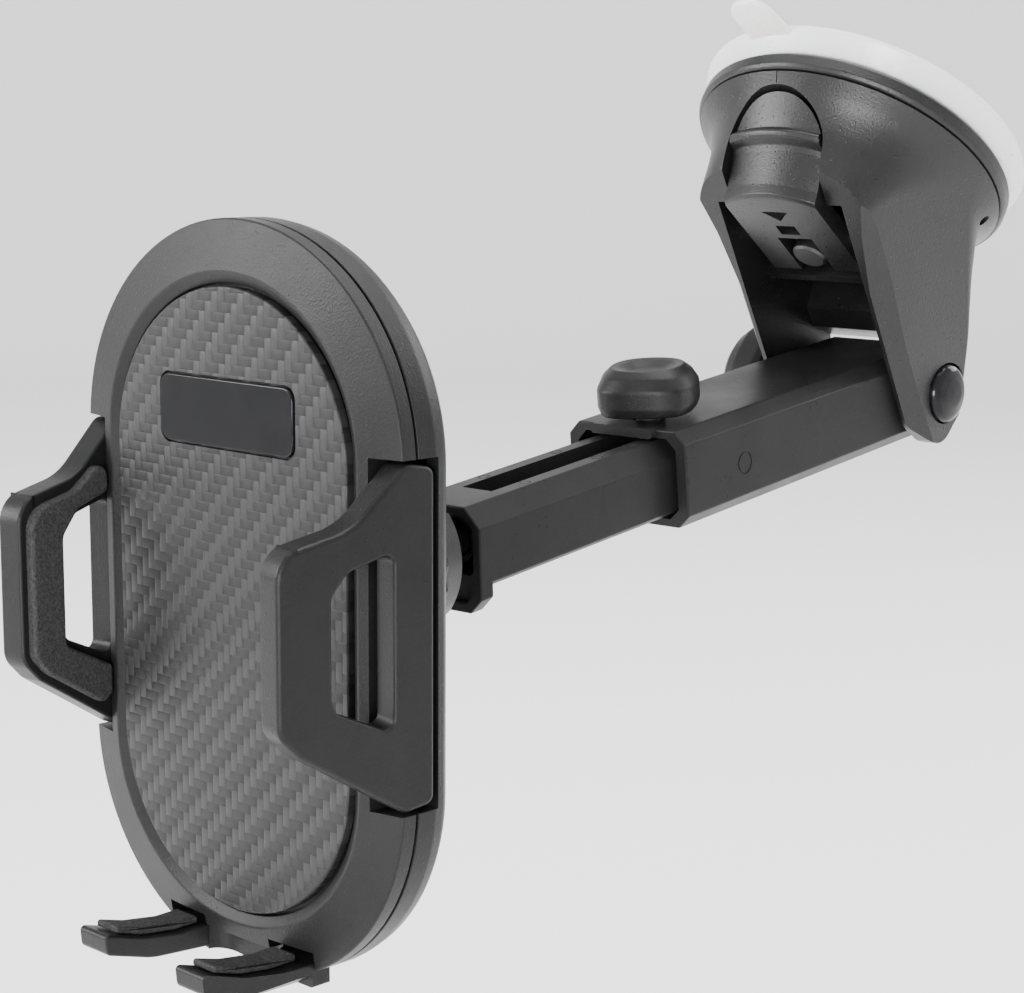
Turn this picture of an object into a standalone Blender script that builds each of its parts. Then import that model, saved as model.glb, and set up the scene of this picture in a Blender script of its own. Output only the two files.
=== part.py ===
"""Telescopic car phone mount: suction base, two-stage arm, ball joint and spring cradle.

World frame: +Z up, +Y towards the windscreen, the arm in the plane X = 0.
The origin is the centre of the sucker's flat face.  Sizes are in millimetres and
are turned into metres when a mesh is made.
"""
import math

import bmesh
import bpy
import numpy as np
from mathutils import Euler, Matrix, Vector

MM = 0.001
GAP = 0.3                      # clearance between neighbouring pieces

# ---- frames -------------------------------------------------------------------
BASE_LEAN = 36.4               # sucker axis, degrees back from vertical
ARM_PITCH = 6.9                # arm axis, degrees up towards the windscreen
CRADLE_YAW = -2.95             # cradle turned on its ball
SUCKER_AHEAD = 30.1            # sucker axis ahead of the arm pivot
SUCKER_HEIGHT = 33.0           # sucker face above the pivot, along the sucker axis

# ---- suction base -------------------------------------------------------------
PAD_RADIUS = 28.6
PAD_BACK = 28.9
RIM_RADIUS = 27.6
RIM_LOW = 25.4
RIM_HIGH = 28.6
EAR_OUTER = 15.5
EAR_INNER = 12.3
DECK_LOW = 16.8
DECK_HIGH = 18.6
CHAMBER_RADIUS = 18.0
LEVER_HALF = 9.0
LEVER_GAP = 0.5
LEVER_PIN = (-30.1, 11.5)      # lever pin in the base frame, y and z
PIN_RADIUS = 1.6
BOLT_RADIUS = 2.5
STEM_TRAVEL = 2.0

# ---- arm ----------------------------------------------------------------------
TUBE_HALF = (11.5, 7.67)
TUBE_BORE = (9.6, 6.35)
TUBE_CHAMFER = 2.1
TUBE_MOUTH = -68.5             # along the arm from the pivot
TUBE_FLOOR = -12.5
BAR_HALF = (8.24, 5.83)
BAR_TOP_CHAMFER = 2.9
BAR_REAR = -38.5
SLOT_HALF = 2.9                # rail slot in the top of the bar
SLOT_FLOOR = 1.2
FLANGE_FRONT = -112.2
FLANGE_THICK = 2.8
FLANGE_DROP = 9.5
BALL_REACH = 120.4             # ball centre ahead of the pivot
BALL_RADIUS = 7.5
LINER_WALL = 0.8
KNOB_PLACE = -62.2             # tube knob along the arm
KNOB_RADIUS = 8.8

# ---- cradle -------------------------------------------------------------------
BALL_IN_CRADLE = (0.0, 30.0, 2.4)
SHELL_W = 32.0
SHELL_H = 50.3
SHELL_STRAIGHT = 20.9
PARTING = 3.7
BACK_DEPTH = 13.0
WALL = 2.0
INLAY_W = 23.4
INLAY_H = 41.65
INLAY_STRAIGHT = 19.35
INLAY_THICK = 1.5
BADGE = (13.5, 4.45, 25.2)     # half width, half height, centre height
ARM_LEAN = 8.5                 # clamp arms lean in, degrees
ARM_THICK = 4.3
ARM_NOTCH = 22.3
ARM_TRAVEL = 17.0
RACK_Y = (4.7, 7.3)
PITCH_RADIUS = 5.0
TEETH = 12
FOOT_TRAVEL = 10.0
SCREW_SPOTS = [(x, z) for x in (-17.0, 17.0) for z in (-31.0, 31.0)]
PAWL_PIN = (5.0, 17.5)

BLACK = (0.018, 0.018, 0.019)


# ---- helpers ------------------------------------------------------------------
def clear_scene():
    for obj in list(bpy.data.objects):
        bpy.data.objects.remove(obj, do_unlink=True)


def finish(name, colour, roughness, metallic=0.0):
    mat = bpy.data.materials.get(name)
    if mat is None:
        mat = bpy.data.materials.new(name)
        mat.use_nodes = True
        shader = mat.node_tree.nodes["Principled BSDF"]
        shader.inputs["Base Color"].default_value = (*colour, 1.0)
        shader.inputs["Roughness"].default_value = roughness
        shader.inputs["Metallic"].default_value = metallic
    return mat


def frame(name, place, turn):
    """An empty that carries the pieces of one assembly; place in millimetres."""
    empty = bpy.data.objects.new(name, None)
    empty.location = Vector(place) * MM
    empty.rotation_euler = [math.radians(t) for t in turn]
    bpy.context.scene.collection.objects.link(empty)
    return empty


def piece(name, shape, parent, at=(0, 0, 0), turn=(0, 0, 0), mat=None, smooth=32.0):
    """Object from (points, faces) in millimetres, placed in its assembly's frame."""
    points, faces = shape
    mesh = bpy.data.meshes.new(name)
    mesh.from_pydata([tuple(float(c) * MM for c in p) for p in points], [], faces)
    bm = bmesh.new()
    bm.from_mesh(mesh)
    bmesh.ops.recalc_face_normals(bm, faces=bm.faces)
    bm.to_mesh(mesh)
    bm.free()
    mesh.shade_smooth()
    mesh.set_sharp_from_angle(angle=math.radians(smooth))
    obj = bpy.data.objects.new(name, mesh)
    obj.parent = parent
    obj.location = Vector(at) * MM
    obj.rotation_euler = [math.radians(t) for t in turn]
    if mat:
        mesh.materials.append(mat)
    bpy.context.scene.collection.objects.link(obj)
    return obj


def tool(shape, parent, at=(0, 0, 0), turn=(0, 0, 0)):
    """A hidden cutter, or a hidden solid that is joined to a piece."""
    obj = piece("cutter", shape, parent, at, turn)
    obj.hide_render = True
    obj.display_type = "WIRE"
    return obj


def boolean(obj, other, operation="DIFFERENCE"):
    mod = obj.modifiers.new("boolean", "BOOLEAN")
    mod.operation = operation
    mod.object = other
    mod.solver = "EXACT"
    return obj


def cut(obj, *tools):
    for other in tools:
        boolean(obj, other)
    return obj


def join(obj, *tools):
    for other in tools:
        boolean(obj, other, "UNION")
    return obj


def bevel(obj, width, segments=2, angle=40.0):
    mod = obj.modifiers.new("bevel", "BEVEL")
    mod.width = width * MM
    mod.segments = segments
    mod.limit_method = "ANGLE"
    mod.angle_limit = math.radians(angle)
    return obj


def loft(rings):
    """Closed solid through rings of equal point count, capped at both ends."""
    count = len(rings[0])
    points = [p for ring in rings for p in ring]
    faces = []
    for level in range(len(rings) - 1):
        for k in range(count):
            a = level * count + k
            b = level * count + (k + 1) % count
            faces.append((a, b, b + count, a + count))
    faces.append(tuple(range(count))[::-1])
    faces.append(tuple(range((len(rings) - 1) * count, len(rings) * count)))
    return points, faces


AXES = {"x": lambda u, v, w: (w, u, v), "y": lambda u, v, w: (u, w, v), "z": lambda u, v, w: (u, v, w)}


def prism(outline, low, high, axis="z"):
    """Outline extruded along an axis; its two coordinates are the other two axes in order."""
    put = AXES[axis]
    return loft([[put(u, v, w) for u, v in outline] for w in (low, high)])


def box(low, high):
    (x0, y0, z0), (x1, y1, z1) = low, high
    return prism([(x0, y0), (x1, y0), (x1, y1), (x0, y1)], z0, z1)


def turned(profile, segments=24, axis="z", radius_at=None):
    """Solid of revolution: profile of (radius, height), first and last capped flat."""
    put = AXES[axis]
    rings = []
    for r, h in profile:
        ring = []
        for k in range(segments):
            t = 2 * math.pi * k / segments
            rr = r * radius_at(t, h) if radius_at else r
            ring.append(put(rr * math.cos(t), rr * math.sin(t), h))
        rings.append(ring)
    return loft(rings)


def tyre(profile, segments=32, axis="z"):
    """Ring of revolution: a closed profile of (radius, height)."""
    put = AXES[axis]
    count = len(profile)
    points = []
    for k in range(segments):
        t = 2 * math.pi * k / segments
        points += [put(r * math.cos(t), r * math.sin(t), h) for r, h in profile]
    faces = []
    for k in range(segments):
        a = k * count
        b = (k + 1) % segments * count
        for i in range(count):
            j = (i + 1) % count
            faces.append((a + i, a + j, b + j, b + i))
    return points, faces


def chamfered(half_w, half_h, top, bottom=None):
    """Octagon outline of a moulded tube."""
    bottom = top if bottom is None else bottom
    return [(-half_w, -half_h + bottom), (-half_w + bottom, -half_h), (half_w - bottom, -half_h),
            (half_w, -half_h + bottom), (half_w, half_h - top), (half_w - top, half_h),
            (-half_w + top, half_h), (-half_w, half_h - top)]


def rounded(corners, steps=4):
    """Outline with round corners, from (x, y, radius) corners in order."""
    out = []
    count = len(corners)
    for i, (x, y, r) in enumerate(corners):
        here = Vector((x, y))
        back = (Vector(corners[i - 1][:2]) - here).normalized()
        ahead = (Vector(corners[(i + 1) % count][:2]) - here).normalized()
        if r <= 0:
            out.append((x, y))
            continue
        half = back.angle(ahead) / 2
        start = here + back * r / math.tan(half)
        centre = here + (back + ahead).normalized() * r / math.sin(half)
        sweep = math.pi - 2 * half
        sign = 1 if back.x * ahead.y - back.y * ahead.x < 0 else -1
        for k in range(steps + 1):
            spoke = start - centre
            spoke.rotate(Matrix.Rotation(sign * sweep * k / steps, 2))
            out.append(tuple(centre + spoke))
    return out


def oval(half_w, half_h, straight, cap=14):
    """Outline of the cradle: straight sides and elliptic ends, in x and z."""
    out = []
    swell = 1 / math.sqrt(math.cos(math.pi / (2 * cap)))     # chords lie half in, half out
    half_w, rise = half_w * swell, (half_h - straight) * swell
    for side in (1, -1):
        for k in range(cap + 1):
            t = math.pi * k / cap
            out.append((side * half_w * math.cos(t), side * (straight + rise * math.sin(t))))
    return out


def helix(radius, wire, pitch, turns, per_turn=8, sides=4):
    """Coil spring along z, from z = wire to the top of its last turn."""
    steps = int(turns * per_turn)
    rings = []
    for k in range(steps + 1):
        t = 2 * math.pi * k / per_turn
        out = Vector((math.cos(t), math.sin(t), 0))
        centre = out * radius + Vector((0, 0, wire + pitch * k / per_turn))
        rings.append([tuple(centre + wire * (out * math.cos(s) + Vector((0, 0, math.sin(s)))))
                      for s in (2 * math.pi * i / sides for i in range(sides))])
    return loft(rings)


def lobed_knob(radius, side, crown, lobes=4, scallop=0.13, segments=24):
    """Clamp knob on z = 0: scalloped side, sloping shoulder and dished top."""
    def squeeze(t, h):
        wave = 0.5 + 0.5 * math.cos(lobes * t)
        fade = max(0.0, min(1.0, (crown - h) / (crown - side)))
        return 1 - scallop * wave ** 0.7 * (0.25 + 0.75 * fade)
    profile = [(0.62 * radius, 0.0), (0.93 * radius, 0.5), (radius, 1.4), (radius, side),
               (0.9 * radius, side + 0.45 * (crown - side)), (0.62 * radius, crown),
               (0.55 * radius, crown - 0.1), (0.35 * radius, crown - 0.7), (0.1 * radius, crown - 1.0)]
    return turned(profile, segments, radius_at=squeeze)


# ---- suction base -------------------------------------------------------------
def bell_ring(level, half, front, rear, ahead, behind, steps=6):
    """One horizontal section of the bell: a rectangle with round corners, ahead and behind."""
    corners = [(-half, front, ahead), (half, front, ahead), (half, rear, behind), (-half, rear, behind)]
    return [(x, y, level) for x, y in rounded(corners, steps)]


def make_base(base, mats):
    centre = (0, -SUCKER_AHEAD, 0)
    pad = piece("suction_pad", turned(
        [(25.4, PAD_BACK), (26.4, PAD_BACK + 0.2), (PAD_RADIUS, 32.3), (PAD_RADIUS, 32.8),
         (PAD_RADIUS - 0.3, SUCKER_HEIGHT)], 40), base, centre, mat=mats["gel"])
    tab = rounded([(-4.2, -26, 0), (4.2, -26, 0), (3.8, -36.3, 3.4), (-3.8, -36.3, 3.4)][::-1])
    join(pad, tool(prism(tab, 31.4, 32.6), base, centre, (0, 0, -8)))
    cut(pad, tool(turned([(11.0, PAD_BACK - 2), (11.0, 31.9)], 24), base, centre))

    plate = piece("base_plate", tyre(
        [(9.6, 26.7), (26.0, 26.7), (26.0, RIM_LOW), (27.1, RIM_LOW), (RIM_RADIUS, RIM_LOW + 0.6),
         (RIM_RADIUS, RIM_HIGH - 0.8), (26.9, RIM_HIGH), (9.6, RIM_HIGH)], 40), base, centre,
        mat=mats["shell"])
    screw_spots = [(16.5 * math.cos(t), 16.5 * math.sin(t)) for t in (math.radians(35), math.radians(145))]
    for x, y in screw_spots:
        cut(plate, tool(turned([(1.5, 26), (1.5, 27.5), (2.6, 27.5), (2.6, 30)], 16), base,
                        (x, y - SUCKER_AHEAD, 0)))

    sections = [(26.4, 25.6, -55.7, -4.5, 25.5, 25.5), (25.2, 25.6, -55.7, -4.5, 25.5, 25.5),
                (25.1, 26.8, -56.9, -3.3, 26.7, 26.7), (22.4, 23.4, -54.9, -6.4, 22.9, 20.0),
                (18.5, 20.6, -52.6, -6.2, 18.5, 12.0), (14.5, 18.4, -50.4, -3.9, 13.0, 6.0),
                (10.5, 17.0, -48.4, -0.8, 8.5, 2.6), (6.2, 16.1, -46.4, 2.6, 5.5, 1.6),
                (1.3, EAR_OUTER, -44.0, 6.0, 3.5, 1.2), (-11.0, EAR_OUTER, -40.0, 12.0, 3.0, 1.2)]
    housing = piece("base_housing", loft([bell_ring(*s) for s in sections]), base, mat=mats["shell"],
                    smooth=38)
    side_view = rounded([(-70, 30, 0), (-70, 20.9, 0), (-46.5, 10.3, 0), (-3.6, -9.2, 5.0), (4.9, -8.6, 5.0),
                         (6.4, 1.0, 3.0), (-7.8, 23.6, 0), (10, 26.5, 0), (10, 30, 0)], 5)
    boolean(housing, tool(prism(side_view, -40, 40, "x"), base), "INTERSECT")
    # yoke slot between the ears, its ceiling the deck, its back wall over the arm's end
    slot = [(-43.0, -20), (20, -20), (20, 9.8), (0, 9.9), (-6.0, 7.8), (-9.6, 9.4), (-11.5, DECK_LOW),
            (-43.0, DECK_LOW)]
    arch = rounded([(-LEVER_HALF - LEVER_GAP, -5, 0), (-LEVER_HALF - LEVER_GAP, 23.4, 9.0),
                    (LEVER_HALF + LEVER_GAP, 23.4, 9.0), (LEVER_HALF + LEVER_GAP, -5, 0)], 6)
    chamber = [(CHAMBER_RADIUS, DECK_HIGH), (CHAMBER_RADIUS + 4.0, 26), (CHAMBER_RADIUS + 4.0, 30)]
    cut(housing, tool(prism(slot, -EAR_INNER, EAR_INNER, "x"), base),
        tool(prism(arch, -64, -42.5, "y"), base),
        tool(turned(chamber, 28), base, centre),
        tool(turned([(5.6, 10), (5.6, 22)], 24), base, centre),
        tool(turned([(BOLT_RADIUS + GAP, -30), (BOLT_RADIUS + GAP, 30)], 20, "x"), base),
        tool(turned([(5.3, 13.6), (5.3, 30)], 24, "x"), base),
        tool(turned([(PIN_RADIUS + 0.05, -14.2), (PIN_RADIUS + 0.05, 14.2)], 16, "x"), base,
             (0, *LEVER_PIN)))
    bosses = [tool(turned([(2.6, DECK_HIGH - 1), (2.6, 26.3)], 16), base, (x, y - SUCKER_AHEAD, 0))
              for x, y in screw_spots]
    lip = tool(box((-EAR_INNER - 1, -23.9, 7.2), (EAR_INNER + 1, -22.3, DECK_LOW + 1)), base)
    join(housing, lip, *bosses)
    for x, y in screw_spots:
        cut(housing, tool(turned([(1.5, 20.5), (1.5, 30)], 12), base, (x, y - SUCKER_AHEAD, 0)))
    for side, (x, y) in zip(("right", "left"), screw_spots):
        piece("plate_screw_" + side, turned([(1.2, 20.8), (1.2, 27.8), (2.3, 27.8), (2.3, 28.4)], 14), base,
              (x, y - SUCKER_AHEAD, 0), mat=mats["steel"])
    return housing


def make_lever(base, mats):
    """Flip lever: a skin that completes the bell, a floor, and a boss on the pin."""
    y0, z0 = LEVER_PIN
    ahead = -SUCKER_AHEAD - y0
    outer = [(17.0, 6.9), (17.7, 7.5), (18.1, 9.0), (20.1, 14.2), (20.5, 15.0), (22.2, 15.7), (22.6, 16.3),
             (22.4, 17.0), (21.9, 17.3), (24.4, 22.9)]
    inner = [(22.0, 22.9), (19.3, 17.0), (15.6, 10.0), (0.0, 10.0)]
    lever = piece("lock_lever", turned([(0.1, 6.9)] + outer + inner[:-1] + [(0.1, 10.0)], 40), base,
                  (0, y0, z0), mat=mats["shell"])
    lever.data.transform(Matrix.Translation(Vector((0, ahead, -z0)) * MM))
    arch = rounded([(-LEVER_HALF, -8, 0), (-LEVER_HALF, 22.8 - z0, 8.5), (LEVER_HALF, 22.8 - z0, 8.5),
                    (LEVER_HALF, -8, 0)], 6)
    boolean(lever, tool(prism(arch, -30, 3.8, "y"), base, (0, y0, z0)), "INTERSECT")
    join(lever, tool(turned([(4.0, -LEVER_HALF), (4.0, LEVER_HALF)], 20, "x"), base, (0, y0, z0)))
    arrow = [(-2.6, -43.2), (2.6, -43.2), (0.0, -40.6)]
    cut(lever, tool(turned([(PIN_RADIUS + GAP, -12), (PIN_RADIUS + GAP, 12)], 20, "x"), base, (0, y0, z0)),
        tool(box((-3.4, -35.6, 4), (3.4, -25.6, 18)), base),
        tool(box((-1.9, -39.2, 4), (1.9, -36.7, 12)), base),
        tool(prism(arrow, 4, 7.9), base))
    piece("lever_pin", turned([(PIN_RADIUS, -13.9), (PIN_RADIUS, 13.9)], 16, "x"), base, (0, y0, z0),
          mat=mats["steel"])

    # the stem rises by its travel when the lever opens, so its slot hangs below the pin
    foot = z0 - PIN_RADIUS - STEM_TRAVEL
    profile = [(3.0, foot - 1.1), (3.0, 19.6), (4.9, 22.0), (4.9, 27.3), (9.0, 28.3), (9.0, 29.6)]
    stem = piece("suction_stem", turned(profile, 24), base, (0, y0, 0), mat=mats["steel"])
    slot = rounded([(-2.1, foot - GAP, 1.9), (2.1, foot - GAP, 1.9), (2.1, z0 + PIN_RADIUS + GAP, 1.9),
                    (-2.1, z0 + PIN_RADIUS + GAP, 1.9)], 3)
    cut(stem, tool(prism(slot, -5, 5, "x"), base, (0, y0, 0)))
    piece("stem_spring", helix(7.2, 0.7, 2.3, 3), base, (0, y0, DECK_HIGH + 0.2), mat=mats["steel"])
    return lever


def make_pivot(base, mats):
    bolt = [(BOLT_RADIUS, -24.0), (BOLT_RADIUS, 13.9), (4.2, 13.9), (4.2, 15.1)]
    piece("pivot_bolt", turned(bolt, 20, "x"), base, mat=mats["steel"])
    dome = [(5.0, 15.4), (5.0, 15.9), (4.7, 16.3), (3.9, 16.7), (2.4, 17.0), (0.6, 17.1)]
    piece("pivot_cap", turned(dome, 24, "x"), base, mat=mats["gloss"])
    for name, side in (("right", 1), ("left", -1)):
        bore = BOLT_RADIUS + GAP
        points, faces = tyre([(bore, 11.2), (6.0, 11.2), (6.0, 12.0), (bore, 12.0)], 20, "x")
        piece("pivot_washer_" + name, ([(side * x, y, z) for x, y, z in points], faces), base,
              mat=mats["nylon"])
    # the knob is modelled upright on z and turned so that its crown looks to -X
    knob = piece("pivot_knob", lobed_knob(9.2, 5.2, 8.6), base, (-18.9, 0, 0), (0, -90, 0),
                 mat=mats["shell"])
    join(knob, tool(turned([(5.2, -2.5), (5.2, 1.0)], 20), base, (-18.9, 0, 0), (0, -90, 0)))
    cut(knob, tool(turned([(BOLT_RADIUS + GAP, -5), (BOLT_RADIUS + GAP, 5.6)], 20), base, (-18.9, 0, 0),
                   (0, -90, 0)))


# ---- arm ----------------------------------------------------------------------
def make_outer_arm(arm, mats):
    tube = piece("outer_tube", prism(chamfered(*TUBE_HALF, TUBE_CHAMFER), TUBE_MOUTH, 12, "y"), arm,
                 mat=mats["shell"])
    round_end = [(-80, -20), (0, -20)] + [(8.3 * math.sin(t), -8.3 * math.cos(t)) for t in
                                        (math.pi * k / 12 for k in range(13))] + [(0, 20), (-80, 20)]
    boolean(tube, tool(prism(round_end, -20, 20, "x"), arm), "INTERSECT")
    tab = chamfered(6.0, 0.8, 0.4)
    join(tube, tool(prism([(u, v + 7.1) for u, v in tab], TUBE_MOUTH - 1.2, TUBE_MOUTH + 3, "y"), arm))
    cut(tube, tool(prism(chamfered(*TUBE_BORE, 1.7), TUBE_MOUTH - 5, TUBE_FLOOR, "y"), arm),
        tool(turned([(BOLT_RADIUS + GAP, -20), (BOLT_RADIUS + GAP, 20)], 20, "x"), arm),
        tool(turned([(6.3, 10.9), (6.3, 20)], 24, "x"), arm),
        tool(turned([(6.3, -20), (6.3, -10.9)], 24, "x"), arm),
        tool(turned([(2.8, 4), (2.8, 12)], 20), arm, (0, KNOB_PLACE, 0)))
    piece("clamp_shoe", box((-2.5, -4.5, 2.0), (2.5, 4.5, 4.0)), arm, (0, KNOB_PLACE, 0), mat=mats["nylon"])
    knob = piece("tube_knob", lobed_knob(KNOB_RADIUS, 4.4, 7.4), arm, (0, KNOB_PLACE, 8.8), (0, 0, 25),
                 mat=mats["shell"])
    cut(knob, tool(turned([(2.8, -1), (2.8, 5.3)], 20), arm, (0, KNOB_PLACE, 8.8)))
    threads = [(2.1 + 0.35 * (k % 2), 4.6 + 0.9 * k) for k in range(8)]
    piece("clamp_screw", turned([(1.5, 4.3)] + threads + [(2.4, 13.5)], 14), arm, (0, KNOB_PLACE, 0),
          mat=mats["steel"])


def make_inner_bar(arm, mats):
    bar = piece("inner_bar", prism(chamfered(*BAR_HALF, BAR_TOP_CHAMFER, 0.7), -111.2, BAR_REAR, "y"), arm,
                mat=mats["shell"])
    half_w, half_h = BAR_HALF
    mid = (half_h - FLANGE_DROP) / 2
    tall = (half_h + FLANGE_DROP) / 2
    flange = [(u, v + mid) for u, v in chamfered(half_w, tall, BAR_TOP_CHAMFER, 2.2)]
    pocket = [(u, v + mid) for u, v in chamfered(half_w - 1.3, tall - 1.4, BAR_TOP_CHAMFER - 0.4, 1.6)]
    shear = math.tan(math.radians(4))
    head = tool(prism(flange, FLANGE_FRONT, FLANGE_FRONT + FLANGE_THICK, "y"), arm)
    for v in head.data.vertices:
        v.co.y += shear * v.co.z
    join(bar, head)
    # the rail slot runs the bar's length and ends in a round floor before the head
    slot = [(-103.0, 8), (-103.0, 4.6), (-102.0, 2.6), (-100.2, SLOT_FLOOR), (0, SLOT_FLOOR), (0, 8)]
    cut(bar, tool(prism(slot, -SLOT_HALF, SLOT_HALF, "x"), arm),
        tool(prism(pocket, -125, FLANGE_FRONT + 0.9, "y"), arm),
        tool(prism(chamfered(half_w - 1.3, 4.2, 1.4), -125, -106.0, "y"), arm))
    piece("bar_glide", prism(chamfered(9.2, 5.9, 1.5), BAR_REAR + GAP, BAR_REAR + 4.3, "y"), arm,
          mat=mats["nylon"])


def make_ball(arm, mats):
    ball_front = -BALL_REACH - BALL_RADIUS
    steps = 7
    arc = []
    for k in range(steps + 1):
        t = math.radians(6 + (154 - 6) * k / steps)
        arc.append((BALL_RADIUS * math.sin(t), -BALL_REACH - BALL_RADIUS * math.cos(t)))
    neck = 3.1
    profile = arc + [(neck, -BALL_REACH + 7.0), (neck, -108.6), (3.9, -108.6), (3.9, -106.5)]
    piece("ball_stud", turned([(0.3, ball_front + 0.02)] + profile, 18, "y"), arm, mat=mats["shell"])


def make_liner(cradle, mats):
    cx, cy, cz = BALL_IN_CRADLE
    inner = BALL_RADIUS + GAP
    outer = inner + LINER_WALL
    steps = 6
    spread = math.radians(96)
    out_arc = [(outer * math.sin(spread * k / steps), -outer * math.cos(spread * k / steps))
               for k in range(1, steps + 1)]
    in_arc = [(inner * math.sin(spread * k / steps), -inner * math.cos(spread * k / steps))
              for k in range(steps, 0, -1)]
    piece("ball_liner", turned([(0.2, -outer)] + out_arc + in_arc + [(0.2, -inner)], 16, "y"), cradle,
          (cx, cy, cz), mat=mats["nylon"])


def make_socket(cradle, mats):
    cx, cy, cz = BALL_IN_CRADLE
    bore = BALL_RADIUS + 2 * GAP + LINER_WALL
    steps = 5
    low, high = math.radians(6), math.radians(107)
    arc = [(bore * math.sin(low + (high - low) * k / steps), -bore * math.cos(low + (high - low) * k / steps))
           for k in range(steps, -1, -1)]
    outside = [(4.0, -20.8), (13.6, -20.8), (13.6, -19.3), (12.2, -19.3), (12.2, -2.0), (10.4, 2.6)]
    collet = piece("socket_collet", turned(outside + arc, 20, "y"), cradle, (cx, cy, cz), mat=mats["shell"])
    for k in range(4):
        cut(collet, tool(box((4.5, -7.5, -0.5), (20, 6, 0.5)), cradle, (cx, cy, cz), (0, 45 + 90 * k, 0)))

    def grip(t, h):
        return 1 - 0.035 * (0.5 + 0.5 * math.cos(7 * t))
    nut = piece("ring_nut", turned([(13.6, -11.6), (14.9, -11.6), (15.6, -10.6), (15.6, -5.0), (14.6, -3.8),
                                    (13.6, -3.8)], 28, "y", grip), cradle, (cx, cy, cz), mat=mats["shell"])
    cut(nut, tool(turned([(12.2 + GAP, -14), (12.2 + GAP, 2)], 20, "y"), cradle, (cx, cy, cz)))


# ---- cradle -------------------------------------------------------------------
def oval_loft(profile, cap=14):
    """Loft along y of cradle outlines, each given as (inset from the outside, y)."""
    rings = []
    for inset, y in profile:
        ring = oval(SHELL_W - inset, SHELL_H - inset, SHELL_STRAIGHT, cap)
        rings.append([(x, y, z) for x, z in ring])
    return loft(rings)


def make_shells(cradle, mats):
    seat = SHELL_W - INLAY_W - GAP
    front = piece("front_shell", oval_loft(
        [(seat, 1.8), (seat, 0.95), (8.0, 0.65), (6.8, 0.0), (0.15, 1.4), (0.0, 1.6), (0.0, PARTING),
         (WALL, PARTING), (WALL, 3.4)]), cradle, mat=mats["shell"], smooth=20)
    back = piece("back_shell", oval_loft(
        [(12.0, 11.0), (9.0, 11.0), (5.4, 10.2), (3.4, 9.2), (WALL, 7.2), (WALL, PARTING + 0.4),
         (0.0, PARTING + 0.4), (0.0, 7.0), (0.45, 8.9), (1.6, 10.25), (3.6, 11.6), (6.5, 12.6),
         (10.0, BACK_DEPTH), (12.0, BACK_DEPTH)]), cradle, mat=mats["shell"])
    for side in (1, -1):
        x0, x1 = sorted((side * 26.9, side * 40))
        notch = box((x0, -5, -ARM_NOTCH), (x1, 7.5, ARM_NOTCH))
        cut(front, tool(notch, cradle))
        cut(back, tool(notch, cradle))
        a0, a1 = sorted((side * 6.7, side * 15.1))
        cut(front, tool(box((a0, -5, -60), (a1, 5.2, -44.2)), cradle))
    cut(front, tool(box((-15.1, -5, -60), (15.1, 6.0, -45.6)), cradle))
    cut(back, tool(box((-15.1, 3, -60), (15.1, 10.2, -41.4)), cradle),
        tool(turned([(12.5, -30), (12.5, 5)], 20, "y"), cradle, BALL_IN_CRADLE),
        tool(prism(chamfered(6.3, 3.8, 1.2), 7, 20, "y"), cradle, (0, 0, 30)))
    boss = [(3.0, 6.0), (3.0, 11.6)]
    for x, z in SCREW_SPOTS:
        join(back, tool(turned(boss, 10, "y"), cradle, (x, 0, z)))
        cut(back, tool(turned([(1.5, 4), (1.5, 11.2), (2.7, 11.2), (2.7, 20)], 10, "y"), cradle, (x, 0, z)))
        join(front, tool(turned([(2.8, 2.6), (2.8, 5.6)], 10, "y"), cradle, (x, 0, z)))
        cut(front, tool(turned([(1.4, 3.0), (1.4, 7)], 10, "y"), cradle, (x, 0, z)))
    # seats of the pinion pin and of the pawl pin
    join(front, tool(turned([(2.6, 2.6), (2.6, 4.2)], 16, "y"), cradle))
    cut(front, tool(turned([(1.25, 2.5), (1.25, 7)], 12, "y"), cradle),
        tool(turned([(1.25, 2.5), (1.25, 7)], 12, "y"), cradle, (*PAWL_PIN[:1], 0, PAWL_PIN[1])))


def make_trim(cradle, mats):
    outline = oval(INLAY_W, INLAY_H, INLAY_STRAIGHT)
    rim = oval(INLAY_W - 0.4, INLAY_H - 0.4, INLAY_STRAIGHT)
    inlay = piece("inlay_plate", loft([[(x, 0.0, z) for x, z in rim], [(x, 0.35, z) for x, z in outline],
                                       [(x, INLAY_THICK, z) for x, z in outline]]), cradle, mat=mats["inlay"])
    half_w, half_h, up = BADGE
    corner = 1.8
    shape = rounded([(-half_w, up - half_h, corner), (half_w, up - half_h, corner),
                     (half_w, up + half_h, corner), (-half_w, up + half_h, corner)], 5)
    wide = rounded([(-half_w - GAP, up - half_h - GAP, corner), (half_w + GAP, up - half_h - GAP, corner),
                    (half_w + GAP, up + half_h + GAP, corner), (-half_w - GAP, up + half_h + GAP, corner)], 5)
    cut(inlay, tool(prism(wide, -2, 0.8, "y"), cradle))
    badge = piece("badge", prism(shape, -0.25, 0.5, "y"), cradle, mat=mats["gloss"])
    bevel(badge, 0.2, 1)


def grip_outline():
    """Clamp arm seen from its side: (forward, up) from the cradle's front face."""
    return rounded([(-3.4, 21.2, 0), (0.9, 22.0, 2.0), (8.6, 14.7, 9.0), (16.6, 13.0, 0), (19.2, 12.0, 4.6),
                    (19.2, -9.6, 2.8), (16.2, -12.6, 0), (0.9, -22.0, 1.6), (-3.4, -21.2, 0)], 5)


def grip_window():
    return rounded([(2.6, 11.2, 1.0), (9.2, 9.4, 3.4), (11.6, 6.6, 1.8), (11.6, -7.4, 2.0),
                    (2.6, -11.4, 1.2)], 4)


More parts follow.
